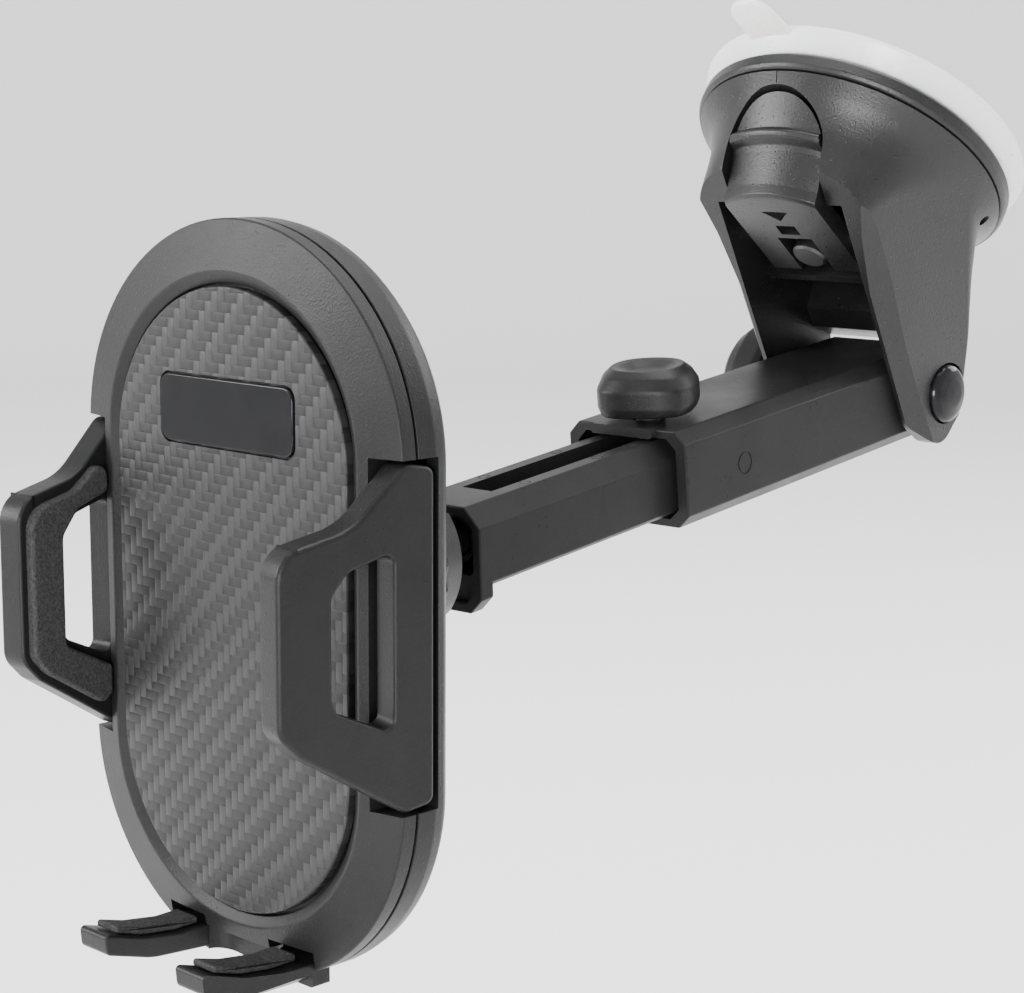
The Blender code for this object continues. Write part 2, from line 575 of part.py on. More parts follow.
def rack(side):
    """Toothed tongue of one clamp arm, in x and z; the right one runs below the pinion."""
    pitch = 2 * math.pi * PITCH_RADIUS / TEETH
    reach, root = -7.0 - ARM_TRAVEL, 27.0
    line = PITCH_RADIUS + 0.95
    tip = PITCH_RADIUS - 0.55
    back = 11.5
    points = [(root, back), (root, line)]
    count = int((root - 4.0 - reach) / pitch)
    for k in range(count):
        mid = pitch * (8 - k)
        points += [(mid + 0.95, line), (mid + 0.38, tip), (mid - 0.38, tip), (mid - 0.95, line)]
    points += [(reach, line), (reach, back)]
    return [(-u, v) for u, v in points] if side < 0 else [(u, -v) for u, v in points]


def make_clamp_arm(cradle, mats, name, side):
    lean = math.radians(ARM_LEAN)
    outline = grip_outline()

    def lay(shape, inner, outer):
        """Put a side outline on the leaning grip plane, between two depths below its face."""
        rings = []
        for depth in (inner, outer):
            ring = []
            for ahead, up in shape:
                x = SHELL_W - ahead * math.sin(lean) - depth * math.cos(lean)
                y = 3.0 - ahead * math.cos(lean) + depth * math.sin(lean)
                ring.append((side * x, y, up))
            rings.append(ring)
        return loft(rings)

    arm = piece(name, lay(outline, ARM_THICK, 0.0), cradle, mat=mats["shell"], smooth=25)
    cut(arm, tool(lay(grip_window(), ARM_THICK + 3, -3.0), cradle))
    # the rack is a moulding of its own, clipped to the inner face of the plate
    x0, x1 = sorted((side * 26.3, side * 27.5))
    tongue = piece(name.replace("clamp_arm", "arm_rack"), prism(rack(side), *RACK_Y, "y"), cradle,
                   mat=mats["shell"])
    join(tongue, tool(box((x0, RACK_Y[0] - 0.7, -20.5), (x1, RACK_Y[1] - 0.7, 20.5)), cradle))

    pad_outline = rounded([(3.9, 17.6, 1.6), (7.6, 14.6, 1.5), (10.0, 12.9, 3.0), (15.0, 11.8, 0),
                           (18.1, 10.8, 3.6), (18.1, -9.0, 2.4), (15.6, -11.6, 0), (5.6, -17.6, 1.6),
                           (3.9, -16.4, 1.0),
                           (3.9, -12.3, 0.8), (12.4, -8.2, 1.6), (12.4, 7.0, 1.8), (9.6, 10.4, 2.0),
                           (3.9, 12.2, 1.0)], 3)
    piece(name.replace("clamp_arm", "arm_pad"), lay(pad_outline, ARM_THICK + 1.4, ARM_THICK + GAP), cradle,
          mat=mats["rubber"])


def toe_profile():
    """Side outline of a toe (y, z): it dips, then rises to a blunt tip."""
    return rounded([(4.4, -45.8, 0), (-3.8, -45.9, 8.0), (-9.3, -45.2, 9.0), (-15.7, -43.3, 0.5),
                    (-15.4, -46.3, 0.8), (-8.0, -48.5, 12.0), (1.5, -49.2, 6.0), (4.4, -49.2, 0)], 4)


def shell_bottom(x):
    """Height of the cradle's outline at its bottom end."""
    return -SHELL_STRAIGHT - (SHELL_H - SHELL_STRAIGHT) * math.sqrt(1 - (x / SHELL_W) ** 2)


def make_foot(cradle, mats):
    plate_top = -14.0 - FOOT_TRAVEL
    plate = [(-11.5, plate_top), (-13.4, -43.0), (-14.2, -46.6), (14.2, -46.6), (13.4, -43.0),
             (11.5, plate_top)]
    foot = piece("foot_bracket", prism(plate, 8.0, 9.9, "y"), cradle, mat=mats["shell"])
    sweep = [14.6 * (k / 5 - 1) for k in range(11)]
    bridge = [(x, shell_bottom(x)) for x in sweep] + [(14.6, -45.9), (-14.6, -45.9)]
    join(foot, tool(prism(bridge, 1.4, 8.7, "y"), cradle))
    for side in (1, -1):
        near, far = sorted((side * 7.0, side * 14.7))
        join(foot, tool(prism(toe_profile(), near, far, "x"), cradle))
        # the toes narrow towards their tips and are chamfered below
        outer = [(side * 14.9, 1.0), (side * 13.0, -17.0), (side * 18, -17.0), (side * 18, 1.0)]
        under = [(side * 9.5, -50.5), (side * 15.6, -46.7), (side * 15.6, -60), (side * 9.5, -60)]
        cut(foot, tool(prism(outer, -60, -40), cradle), tool(prism(under, -17, 1.2, "y"), cradle))
        pad_side = rounded([(0.2, -45.5, 0), (-4.0, -45.55, 6.0), (-9.2, -44.9, 6.0), (-13.4, -43.6, 0.3),
                            (-13.3, -42.9, 0.3), (-9.0, -44.1, 6.0), (-3.8, -44.8, 6.0), (0.2, -44.7, 0)], 3)
        near, far = sorted((side * 8.1, side * 12.6))
        pad = piece("foot_pad_" + ("right" if side > 0 else "left"), prism(pad_side, near, far, "x"), cradle,
                    mat=mats["rubber"])
        bevel(pad, 0.3, 1)
    gap = rounded([(-7.3, -6, 0), (7.3, -6, 0), (7.3, 4.2, 3.2), (-7.3, 4.2, 3.2)], 5)
    cut(foot, tool(prism(gap, -60, -40), cradle))
    return foot


def gear(radius, teeth, low, high):
    """Spur pinion with thinned straight-flanked teeth, on the y axis."""
    outline = []
    step = 2 * math.pi / teeth
    for k in range(teeth):
        mid = step * (k + 0.5) + math.pi / 2
        outline += [(radius - 1.05, mid - 0.30 * step), (radius + 0.62, mid - 0.11 * step),
                    (radius + 0.62, mid + 0.11 * step), (radius - 1.05, mid + 0.30 * step)]
    return prism([(r * math.cos(t), r * math.sin(t)) for r, t in outline], low, high, "y")


def make_mechanism(cradle, mats):
    pinion = piece("pinion_gear", gear(PITCH_RADIUS, TEETH, 4.7, 7.2), cradle, mat=mats["nylon"])
    join(pinion, tool(turned([(3.2, 6.5), (3.2, 8.0)], 20, "y"), cradle))
    cut(pinion, tool(turned([(1.4, 2), (1.4, 12)], 16, "y"), cradle))
    piece("pinion_pin", turned([(1.1, 2.9), (1.1, 8.9)], 12, "y"), cradle, mat=mats["steel"])
    piece("arm_spring", helix(4.2, 0.3, 0.7, 1.4), cradle, (0, 9.0, 0), (90, 0, 0), mat=mats["steel"])

    button = piece("release_button", prism(chamfered(6.0, 3.5, 1.1), 9.9, 14.6, "y"), cradle, (0, 0, 30),
                   mat=mats["shell"])
    join(button, tool(prism(chamfered(7.4, 4.9, 1.2), 9.3, 10.6, "y"), cradle, (0, 0, 30)))
    bevel(button, 0.3, 2)
    piece("button_spring", helix(2.0, 0.3, 1.05, 3), cradle, (0, 4.15, 30), (-90, 0, 0), mat=mats["steel"])
    px, pz = PAWL_PIN
    pawl_shape = rounded([(1.9, 3.0, 0.8), (-1.9, 3.0, 0.8), (-1.9, -1.6, 0), (-4.9, -5.2, 0.3),
                          (-3.5, -5.6, 0.3), (1.9, -1.6, 0)], 3)
    pawl = piece("latch_pawl", prism(pawl_shape, 4.7, 6.9, "y"), cradle, (px, 0, pz), mat=mats["steel"])
    cut(pawl, tool(turned([(1.4, 2), (1.4, 12)], 14, "y"), cradle, (px, 0, pz)))
    piece("pawl_pin", turned([(1.1, 2.9), (1.1, 8.2)], 14, "y"), cradle, (px, 0, pz), mat=mats["steel"])
    screw = [(1.1, 4.0), (1.1, 11.5), (2.4, 11.5), (2.4, 12.5)]
    for i, (x, z) in enumerate(SCREW_SPOTS):
        piece("shell_screw_%d" % (i + 1), turned(screw, 10, "y"), cradle, (x, 0, z), mat=mats["steel"])


def main():
    clear_scene()
    mats = {"shell": finish("satin_black", BLACK, 0.42),
            "gloss": finish("gloss_black", (0.01, 0.01, 0.011), 0.12),
            "rubber": finish("grip_rubber", (0.012, 0.012, 0.012), 0.85),
            "inlay": finish("carbon_inlay", (0.06, 0.06, 0.062), 0.4),
            "gel": finish("clear_gel", (0.86, 0.87, 0.87), 0.35),
            "steel": finish("zinc_steel", (0.6, 0.6, 0.6), 0.35, 1.0),
            "nylon": finish("nylon", (0.04, 0.04, 0.04), 0.5)}
    lean = Euler((math.radians(-BASE_LEAN), 0, 0)).to_matrix()
    pivot = -(lean @ Vector((0, -SUCKER_AHEAD, SUCKER_HEIGHT)))
    base = frame("base_frame", pivot, (-BASE_LEAN, 0, 0))
    arm = frame("arm_frame", pivot, (ARM_PITCH, 0, 0))
    reach = Euler((math.radians(ARM_PITCH), 0, 0)).to_matrix() @ Vector((0, -BALL_REACH, 0))
    yaw = Euler((0, 0, math.radians(CRADLE_YAW))).to_matrix()
    cradle = frame("cradle_frame", pivot + reach - yaw @ Vector(BALL_IN_CRADLE), (0, 0, CRADLE_YAW))

    make_base(base, mats)
    make_lever(base, mats)
    make_pivot(base, mats)
    make_outer_arm(arm, mats)
    make_inner_bar(arm, mats)
    make_ball(arm, mats)
    make_liner(cradle, mats)
    make_socket(cradle, mats)
    make_shells(cradle, mats)
    make_trim(cradle, mats)
    for name, side in (("clamp_arm_right", 1), ("clamp_arm_left", -1)):
        make_clamp_arm(cradle, mats, name, side)
    make_foot(cradle, mats)
    make_mechanism(cradle, mats)


main()
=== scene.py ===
import math

import bmesh
import bpy
import numpy as np
from mathutils import Matrix, Vector


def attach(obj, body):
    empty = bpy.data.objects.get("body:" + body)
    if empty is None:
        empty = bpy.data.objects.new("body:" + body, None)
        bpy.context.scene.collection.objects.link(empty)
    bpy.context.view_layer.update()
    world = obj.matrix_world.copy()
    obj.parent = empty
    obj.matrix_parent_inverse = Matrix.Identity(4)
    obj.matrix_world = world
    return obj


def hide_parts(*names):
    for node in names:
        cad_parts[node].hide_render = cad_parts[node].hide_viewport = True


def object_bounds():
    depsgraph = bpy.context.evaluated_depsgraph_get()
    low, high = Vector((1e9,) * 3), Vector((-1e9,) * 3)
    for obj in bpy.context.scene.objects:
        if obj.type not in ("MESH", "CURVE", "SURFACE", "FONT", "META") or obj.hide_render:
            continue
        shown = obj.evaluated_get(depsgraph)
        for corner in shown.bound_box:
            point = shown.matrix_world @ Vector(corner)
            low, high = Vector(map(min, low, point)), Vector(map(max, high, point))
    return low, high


# Looks of the phone mount. All shapes are in millimetres in one of three local frames,
# and are laid into the shared frame in metres as each piece is finished.

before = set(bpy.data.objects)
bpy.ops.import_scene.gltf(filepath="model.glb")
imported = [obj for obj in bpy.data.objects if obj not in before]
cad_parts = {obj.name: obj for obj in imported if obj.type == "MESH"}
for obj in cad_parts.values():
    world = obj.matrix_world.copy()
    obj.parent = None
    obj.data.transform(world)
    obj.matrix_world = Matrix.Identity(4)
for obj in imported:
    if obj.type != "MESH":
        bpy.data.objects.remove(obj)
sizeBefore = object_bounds()


def spin(axis, degrees):
    return Matrix.Rotation(math.radians(degrees), 4, axis)


angles = {"baseLean": 36.4, "armPitch": 6.9, "cradleYaw": -2.95}
suckerCentre = Vector((0, -30.1, 33.0))
ballReach = 120.4
ballInCradle = Vector((0, 30.0, 2.4))

baseTurn = spin("X", -angles["baseLean"])
pivot = -(baseTurn @ suckerCentre)
baseHome = Matrix.Translation(pivot) @ baseTurn
armHome = Matrix.Translation(pivot) @ spin("X", angles["armPitch"])
yawTurn = spin("Z", angles["cradleYaw"])
cradleHome = Matrix.Translation(armHome @ Vector((0, -ballReach, 0)) - yawTurn @ ballInCradle) @ yawTurn


def rounded(corners, steps=6, closed=True):
    # Outline or path with round corners, from (x, y, radius).
    out = []
    count = len(corners)
    for i, (x, y, r) in enumerate(corners):
        here = np.array((x, y), float)
        if r <= 0 or (not closed and i in (0, count - 1)):
            out.append(here)
            continue
        back = np.array(corners[i - 1][:2], float) - here
        ahead = np.array(corners[(i + 1) % count][:2], float) - here
        back, ahead = back / np.linalg.norm(back), ahead / np.linalg.norm(ahead)
        half = math.acos(np.clip(back @ ahead, -1, 1)) / 2
        if half > math.radians(89.5):
            out.append(here)
            continue
        middle = (back + ahead) / np.linalg.norm(back + ahead)
        centre = here + middle * r / math.sin(half)
        spoke = here + back * r / math.tan(half) - centre
        sign = 1 if back[0] * ahead[1] - back[1] * ahead[0] < 0 else -1
        for t in np.linspace(0, sign * (math.pi - 2 * half), steps + 1):
            c, s = math.cos(t), math.sin(t)
            out.append(centre + (c * spoke[0] - s * spoke[1], s * spoke[0] + c * spoke[1]))
    return np.array(out)


def area(outline):
    x, y = outline.T
    return 0.5 * np.sum(x * np.roll(y, -1) - y * np.roll(x, -1))


def inset(outline, distance):
    # The outline moved inwards, each point along the mean of its two edge normals.
    ahead = np.roll(outline, -1, 0) - outline
    ahead /= np.maximum(np.linalg.norm(ahead, axis=1), 1e-9)[:, None]
    normal = np.c_[-ahead[:, 1], ahead[:, 0]] * np.sign(area(outline))
    mean = normal + np.roll(normal, 1, 0)
    mean /= np.maximum((mean * normal).sum(1), 0.35)[:, None]
    return outline + mean * distance


def skin(rings, loop=False):
    # Closed solid through equal rings (levels, around, 3); a loop joins its ends, else they are capped.
    rings = np.asarray(rings, float)
    index = np.arange(rings.shape[0] * rings.shape[1]).reshape(rings.shape[:2])
    ahead = np.roll(index, -1, 1)
    if loop:
        quads = np.stack([index, ahead, np.roll(ahead, -1, 0), np.roll(index, -1, 0)], -1)
        return rings.reshape(-1, 3), quads.reshape(-1, 4).tolist()
    quads = np.stack([index[:-1], ahead[:-1], ahead[1:], index[1:]], -1)
    caps = [index[0][::-1].tolist(), index[-1].tolist()]
    return rings.reshape(-1, 3), quads.reshape(-1, 4).tolist() + caps


orders = {"x": (2, 0, 1), "y": (0, 2, 1), "z": (0, 1, 2)}


def along(flat, heights, axis):
    # Rings from outlines (levels, around, 2) at these heights along an axis.
    flat = np.asarray(flat, float)
    h = np.broadcast_to(np.asarray(heights, float)[:, None], flat.shape[:2])
    return np.stack([flat[..., 0], flat[..., 1], h], -1)[..., orders[axis]]


def prism(outline, low, high, axis="z"):
    outline = np.asarray(outline, float)
    return skin(along([outline, outline], [low, high], axis))


def box(low, high):
    (x0, y0, z0), (x1, y1, z1) = low, high
    return prism([(x0, y0), (x1, y0), (x1, y1), (x0, y1)], z0, z1)


def plate(outline, low, high, axis="z", edge=0.4, far=None, steps=4):
    # Outline extruded along an axis, with rounded rims: edge at the low side and far at the high one.
    far = edge if far is None else far
    t = np.linspace(0, math.pi / 2, steps + 1)
    levels = [(edge * (1 - math.sin(a)), low + edge * (1 - math.cos(a))) for a in t]
    levels += [(far * (1 - math.sin(a)), high - far * (1 - math.cos(a))) for a in t[::-1]]
    return skin(along([inset(outline, d) for d, _ in levels], [h for _, h in levels], axis))


def hole(outline, low, high, axis="z", edge=0.4, steps=4):
    # Cutter for a hole right through a plate, flared so that both its rims come out rounded.
    t = np.linspace(math.radians(14), math.pi / 2, steps + 1)
    flare = [(-edge * (1 - math.sin(a)), edge * (1 - math.cos(a))) for a in t]
    flare = [(flare[0][0] - 1.2, flare[0][1] - 0.3)] + flare
    levels = [(d, low + h) for d, h in flare] + [(d, high - h) for d, h in flare[::-1]]
    return skin(along([inset(outline, d) for d, _ in levels], [h for _, h in levels], axis))


def turned(profile, around=64, axis="z", wobble=None):
    # Solid of revolution from (radius, height) points, capped flat; wobble(angle, height) scales it.
    t = np.arange(around) * 2 * math.pi / around
    flat, heights = [], []
    for r, h in profile:
        scale = wobble(t, h) if wobble else 1.0
        flat.append(np.c_[r * scale * np.cos(t), r * scale * np.sin(t)])
        heights.append(h)
    return skin(along(flat, heights, axis))


def tyre(profile, around=96, axis="z"):
    # Ring of revolution from a closed (radius, height) profile.
    profile = np.asarray(profile, float)
    t = np.arange(around) * 2 * math.pi / around
    rings = np.stack([np.outer(np.cos(t), profile[:, 0]), np.outer(np.sin(t), profile[:, 0]),
                      np.broadcast_to(profile[:, 1], (around, len(profile)))], -1)
    return skin(rings[..., orders[axis]], loop=True)


def spring(radius, wire, pitch, turns, around=28, sides=10):
    # Coil spring along z.
    t = np.linspace(0, 2 * math.pi * turns, int(turns * around) + 1)
    out = np.stack([np.cos(t), np.sin(t), np.zeros_like(t)], -1)
    ring = np.linspace(0, 2 * math.pi, sides, endpoint=False)
    rise = wire + pitch * t / (2 * math.pi)
    middle = out * radius + np.stack([0 * t, 0 * t, rise], -1)
    return skin(middle[:, None] + wire * (out[:, None] * np.cos(ring)[None, :, None]
                                          + np.array((0, 0, 1.0)) * np.sin(ring)[None, :, None]))


def chamfered(halfW, halfH, top, bottom=None, r=0.5, mid=0.0):
    # Outline of a moulded tube: an octagon whose corners are slightly round.
    bottom = top if bottom is None else bottom
    pts = [(-halfW, -halfH + bottom), (-halfW + bottom, -halfH), (halfW - bottom, -halfH),
           (halfW, -halfH + bottom), (halfW, halfH - top), (halfW - top, halfH), (-halfW + top, halfH),
           (-halfW, halfH - top)]
    return rounded([(x, y + mid, r) for x, y in pts], 4)


def moved(shape, at=(0, 0, 0), turn=None):
    points, faces = shape
    matrix = np.array(turn.to_3x3() if turn else Matrix.Identity(3), float)
    return points @ matrix.T + np.array(at, float), faces


def mapped(shape, rule):
    points, faces = shape
    return rule(points), faces


def smoothPath(knots, count):
    # Cubic through the knots' rows, whose first column rises, read at even steps of it.
    knots = np.array(sorted(map(tuple, knots)), float)
    x, y = knots[:, 0], knots[:, 1:]
    gap = np.diff(x)[:, None]
    rise = np.diff(y, axis=0) / gap
    slope = np.vstack([rise[:1], (rise[:-1] * gap[1:] + rise[1:] * gap[:-1]) / (gap[1:] + gap[:-1]),
                       rise[-1:]])
    at = np.linspace(x[0], x[-1], count)
    k = np.clip(np.searchsorted(x, at, "right") - 1, 0, len(x) - 2)
    w = x[k + 1] - x[k]
    s = ((at - x[k]) / w)[:, None]
    w = w[:, None]
    return at, ((1 + 2 * s) * (1 - s) ** 2 * y[k] + s * (1 - s) ** 2 * w * slope[k]
                + s ** 2 * (3 - 2 * s) * y[k + 1] + s ** 2 * (s - 1) * w * slope[k + 1])


def rawObject(name, shape):
    points, faces = shape
    mesh = bpy.data.meshes.new(name)
    mesh.from_pydata(np.asarray(points).tolist(), [], faces)
    bm = bmesh.new()
    bm.from_mesh(mesh)
    bmesh.ops.recalc_face_normals(bm, faces=bm.faces)
    bm.to_mesh(mesh)
    bm.free()
    obj = bpy.data.objects.new(name, mesh)
    bpy.context.scene.collection.objects.link(obj)
    return obj


weld = {"merge": 0.003, "sliver": 0.002}


def bake(obj):
    # Puts what the modifiers make into the mesh itself.
    bpy.context.view_layer.update()
    graph = bpy.context.evaluated_depsgraph_get()
    mesh = bpy.data.meshes.new_from_object(obj.evaluated_get(graph))
    obj.modifiers.clear()
    obj.data = mesh


def carve(obj, steps):
    # Booleans in turn, each (operation, shape).
    tools = []
    for operation, shape in steps:
        tools.append(rawObject("cutter", shape))
        change = obj.modifiers.new("carve", "BOOLEAN")
        change.operation = {"cut": "DIFFERENCE", "add": "UNION", "keep": "INTERSECT"}[operation]
        change.object = tools[-1]
        change.solver = "EXACT"
    bake(obj)
    for tool in tools:
        bpy.data.objects.remove(tool, do_unlink=True)
    bm = bmesh.new()
    bm.from_mesh(obj.data)
    bmesh.ops.remove_doubles(bm, verts=bm.verts, dist=weld["merge"])
    bmesh.ops.dissolve_degenerate(bm, edges=bm.edges, dist=weld["sliver"])
    bm.to_mesh(obj.data)
    bm.free()


def piece(name, shape, home, body, look, stands=(), steps=(), sharp=38.0):
    # One finished piece, from a shape in the frame called home; it rides on body and stands for CAD nodes.
    obj = rawObject(name, shape)
    if steps:
        carve(obj, steps)
    obj.data.transform(Matrix.Scale(0.001, 4) @ home)
    if home.determinant() < 0:
        obj.data.flip_normals()
    obj.data.shade_smooth()
    obj.data.set_sharp_from_angle(angle=math.radians(sharp))
    weigh = obj.modifiers.new("normals", "WEIGHTED_NORMAL")
    weigh.keep_sharp = True
    weigh.weight = 100
    bake(obj)
    obj.data.materials.clear()
    obj.data.materials.append(looks[look])
    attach(obj, body)
    if stands:
        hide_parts(*stands)
    return obj


class Wire:
    # A shader socket that takes part in arithmetic.

    def __init__(self, tree, socket):
        self.tree, self.socket = tree, socket

    def node(self, kind, inputs, out=0, **settings):
        made = self.tree.nodes.new(kind)
        for key, value in settings.items():
            setattr(made, key, value)
        for key, value in inputs.items():
            if isinstance(value, Wire):
                self.tree.links.new(value.socket, made.inputs[key])
            else:
                made.inputs[key].default_value = value
        return Wire(self.tree, made.outputs[out])

    def maths(self, operation, *others):
        return self.node("ShaderNodeMath", dict(enumerate((self, *others))), operation=operation)

    def __add__(self, other):
        return self.maths("ADD", other)

    def __sub__(self, other):
        return self.maths("SUBTRACT", other)

    def __mul__(self, other):
        return self.maths("MULTIPLY", other)

    def __truediv__(self, other):
        return self.maths("DIVIDE", other)

    def __rsub__(self, other):
        return self.node("ShaderNodeMath", {0: other, 1: self}, operation="SUBTRACT")

    __radd__ = __add__
    __rmul__ = __mul__

    def below(self, limit):
        return self.maths("LESS_THAN", limit)

    def scaled(self, factor):
        return self.node("ShaderNodeVectorMath", {0: self, "Scale": factor}, operation="SCALE")

    def part(self, name):
        return self.node("ShaderNodeSeparateXYZ", {0: self}, out=name)

    def noise(self, scale, detail=2.0, roughness=0.5):
        return self.node("ShaderNodeTexNoise", {"Vector": self, "Scale": scale, "Detail": detail,
                                                "Roughness": roughness}, out="Fac")

    def ramp(self, low, high, start=0.0, end=1.0):
        return self.node("ShaderNodeMapRange", {"Value": self, "From Min": start, "From Max": end,
                                                "To Min": low, "To Max": high})

    def colours(self, dark, light):
        return self.node("ShaderNodeMix", {0: self, 6: (*dark, 1), 7: (*light, 1)}, out=2, data_type="RGBA")


def newLook(name, constants):
    # Material with constant shader inputs; returns it with its shader and the place in millimetres.
    look = bpy.data.materials.new(name)
    look.use_nodes = True
    tree = look.node_tree
    shader = tree.nodes["Principled BSDF"]
    for key, value in constants.items():
        shader.inputs[key].default_value = value
    where = tree.nodes.new("ShaderNodeTexCoord")
    place = Wire(tree, where.outputs["Object"]).scaled(1000.0)
    return look, shader, place


def feed(shader, **wires):
    names = {"colour": "Base Color", "roughness": "Roughness", "normal": "Normal"}
    for key, wire in wires.items():
        wire.tree.links.new(wire.socket, shader.inputs[names[key]])


def relief(height, depth, strength=1.0):
    # Normal from a height in 0..1 that stands for depth metres.
    return height.node("ShaderNodeBump", {"Height": height, "Distance": depth, "Strength": strength},
                       out="Normal")


def plasticLook(name, settings):
    look, shader, place = newLook(name, {"Roughness": settings["roughness"], "IOR": 1.5,
                                           "Specular IOR Level": settings["shine"]})
    grain = place.noise(settings["grain"], 3.0, 0.6)
    blotch = place.noise(0.09, 2.0)
    speck = place.noise(settings["grain"] * 0.55, 1.0).ramp(0.0, 1.0, 0.66, 0.74)
    tone = (blotch * 0.5 + grain * 0.5).ramp(0.0, 1.0, 0.3, 0.7)
    feed(shader, colour=tone.colours(settings["dark"], settings["light"]),
         roughness=blotch.ramp(settings["roughness"] - 0.04, settings["roughness"] + 0.05, 0.3, 0.7)
         - speck * 0.08, normal=relief(grain + speck * 0.35, settings["depth"]))
    return look


looks = {
    "ring": plasticLook("satinRing", {"dark": (0.007, 0.007, 0.0073), "light": (0.012, 0.012, 0.0124),
                                      "roughness": 0.40, "grain": 3.4, "depth": 0.00006, "shine": 0.17}),
    "shell": plasticLook("satinShell", {"dark": (0.006, 0.006, 0.0063), "light": (0.010, 0.010, 0.0104),
                                        "roughness": 0.37, "grain": 3.4, "depth": 0.00005, "shine": 0.17}),
    "bar": plasticLook("smoothBar", {"dark": (0.010, 0.010, 0.0104), "light": (0.016, 0.016, 0.0165),
                                     "roughness": 0.36, "grain": 2.6, "depth": 0.00002, "shine": 0.09}),
    "bell": plasticLook("grainedBell", {"dark": (0.005, 0.005, 0.0053), "light": (0.009, 0.009, 0.0094),
                                        "roughness": 0.33, "grain": 3.0, "depth": 0.00006, "shine": 0.36}),
    "nylon": plasticLook("plainNylon", {"dark": (0.02, 0.02, 0.0195), "light": (0.032, 0.032, 0.031),
                                        "roughness": 0.5, "grain": 1.5, "depth": 0.00001, "shine": 0.3}),
}


def rubberLook():
    look, shader, place = newLook("grainyRubber", {"Roughness": 0.8, "IOR": 1.45,
                                                   "Specular IOR Level": 0.22})
    coarse = place.noise(2.3, 3.0, 0.7)
    fine = place.noise(6.0, 2.0, 0.6)
    height = coarse * 0.65 + fine * 0.35
    feed(shader, colour=height.ramp(0.0, 1.0, 0.35, 0.65).colours((0.010, 0.010, 0.010),
                                                                  (0.042, 0.042, 0.042)),
         roughness=height.ramp(0.92, 0.62, 0.35, 0.65), normal=relief(height, 0.00022))
    return look


def twillLook():
    # Two-over-two twill: tows one cell wide, floating over two cells, stepping up to the right.
    look, shader, place = newLook("carbonTwill", {"Roughness": 0.42, "IOR": 1.5,
                                                  "Specular IOR Level": 0.22})
    where = place.tree.nodes.new("ShaderNodeUVMap")
    where.uv_map = "flat"
    sheet = Wire(place.tree, where.outputs["UV"]).scaled(100.0 / 1.32)
    x, z = sheet.part("X") + 400.0, sheet.part("Y") + 400.0
    i, j = x.maths("FLOOR"), z.maths("FLOOR")
    fx, fz = x - i, z - j
    k = (i - j + 400.0).maths("FLOORED_MODULO", 4.0)
    warp = k.below(1.5)

    def hump(t):
        return 1.0 - (t * 2.0 - 1.0).maths("POWER", 2.0)

    def mostly(t):
        return t.maths("POWER", 0.45)
    across = warp * mostly(hump(fx)) + (1.0 - warp) * mostly(hump(fz))
    run = warp * hump((1.0 - k + fz) / 2.0) + (1.0 - warp) * hump((k - 2.0 + fx) / 2.0)
    height = across * 0.55 + run * 0.75
    fibre = place.noise(5.0, 3.0, 0.7)
    # painted sheen: warp floats are painted lighter than weft floats, and each float's crown carries a
    # painted highlight; only the fibre noise is random tone
    tone = warp * 0.55 + run * 0.3 + fibre * 0.25
    feed(shader, colour=tone.ramp(0.0, 1.0, 0.1, 1.0).colours((0.009, 0.009, 0.0094),
                                                              (0.026, 0.026, 0.027)),
         roughness=(1.0 - warp) * 0.10 + fibre * 0.10 + 0.36, normal=relief(height + fibre * 0.12, 0.00015))
    return look


def glossLook():
    look, shader, place = newLook("polishedBlack", {"Roughness": 0.07, "IOR": 1.5,
                                                    "Specular IOR Level": 0.17})
    smear = place.noise(0.35, 3.0)
    feed(shader, colour=smear.colours((0.005, 0.005, 0.006), (0.009, 0.009, 0.010)),
         roughness=smear.ramp(0.04, 0.12, 0.35, 0.65))
    return look


def gelLook():
    look, shader, place = newLook("cloudyGel", {"Roughness": 0.3, "IOR": 1.42, "Transmission Weight": 0.3,
                                                "Subsurface Weight": 0.35, "Subsurface Scale": 0.006})
    cloud = place.noise(0.12, 3.0)
    feed(shader, colour=cloud.colours((0.93, 0.93, 0.93), (0.99, 0.99, 0.99)),
         roughness=cloud.ramp(0.22, 0.36, 0.3, 0.7), normal=relief(place.noise(0.8, 2.0), 0.00003))
    return look


def steelLook(name, dark, light, rough):
    # a streaky noise brightens the colour and roughens the polish
    look, shader, place = newLook(name, {"Metallic": 1.0, "Roughness": rough})
    streak = place.noise(1.8, 4.0, 0.7)
    feed(shader, colour=streak.colours((dark,) * 3, (light,) * 3),
         roughness=streak.ramp(rough - 0.08, rough + 0.1, 0.3, 0.7), normal=relief(streak, 0.00001))
    return look


looks.update(rubber=rubberLook(), twill=twillLook(), gloss=glossLook(), gel=gelLook(),
             steel=steelLook("zincSteel", 0.46, 0.66, 0.32),
             dullSteel=steelLook("dullSteel", 0.05, 0.09, 0.45))
print("looks made")


shell = {"halfWidth": 32.0, "halfHeight": 50.3, "straight": 20.9, "parting": 3.7, "cap": 56,
         "notch": 22.3, "screws": [(x, z) for x in (-17.0, 17.0) for z in (-31.0, 31.0)]}


def oval(halfW, halfH, straight, cap):
    # Outline of the cradle: straight sides and elliptic ends, in x and z.
    t = np.linspace(0, math.pi, cap + 1)
    top = np.c_[halfW * np.cos(t), straight + (halfH - straight) * np.sin(t)]
    side = np.linspace(straight, -straight, 6)[1:-1]
    left = np.c_[np.full(4, -halfW), side]
    return np.vstack([top, left, -top, -left])


def ovalSkin(profile):
    rings = [oval(shell["halfWidth"] - d, shell["halfHeight"] - d, shell["straight"], shell["cap"])
             for d, _ in profile]
    return skin(along(rings, [y for _, y in profile], "y"))


def armNotches(low, high):
    return [("cut", box((min(s * 26.9, s * 40), low, -shell["notch"]),
                        (max(s * 26.9, s * 40), high, shell["notch"]))) for s in (1, -1)]


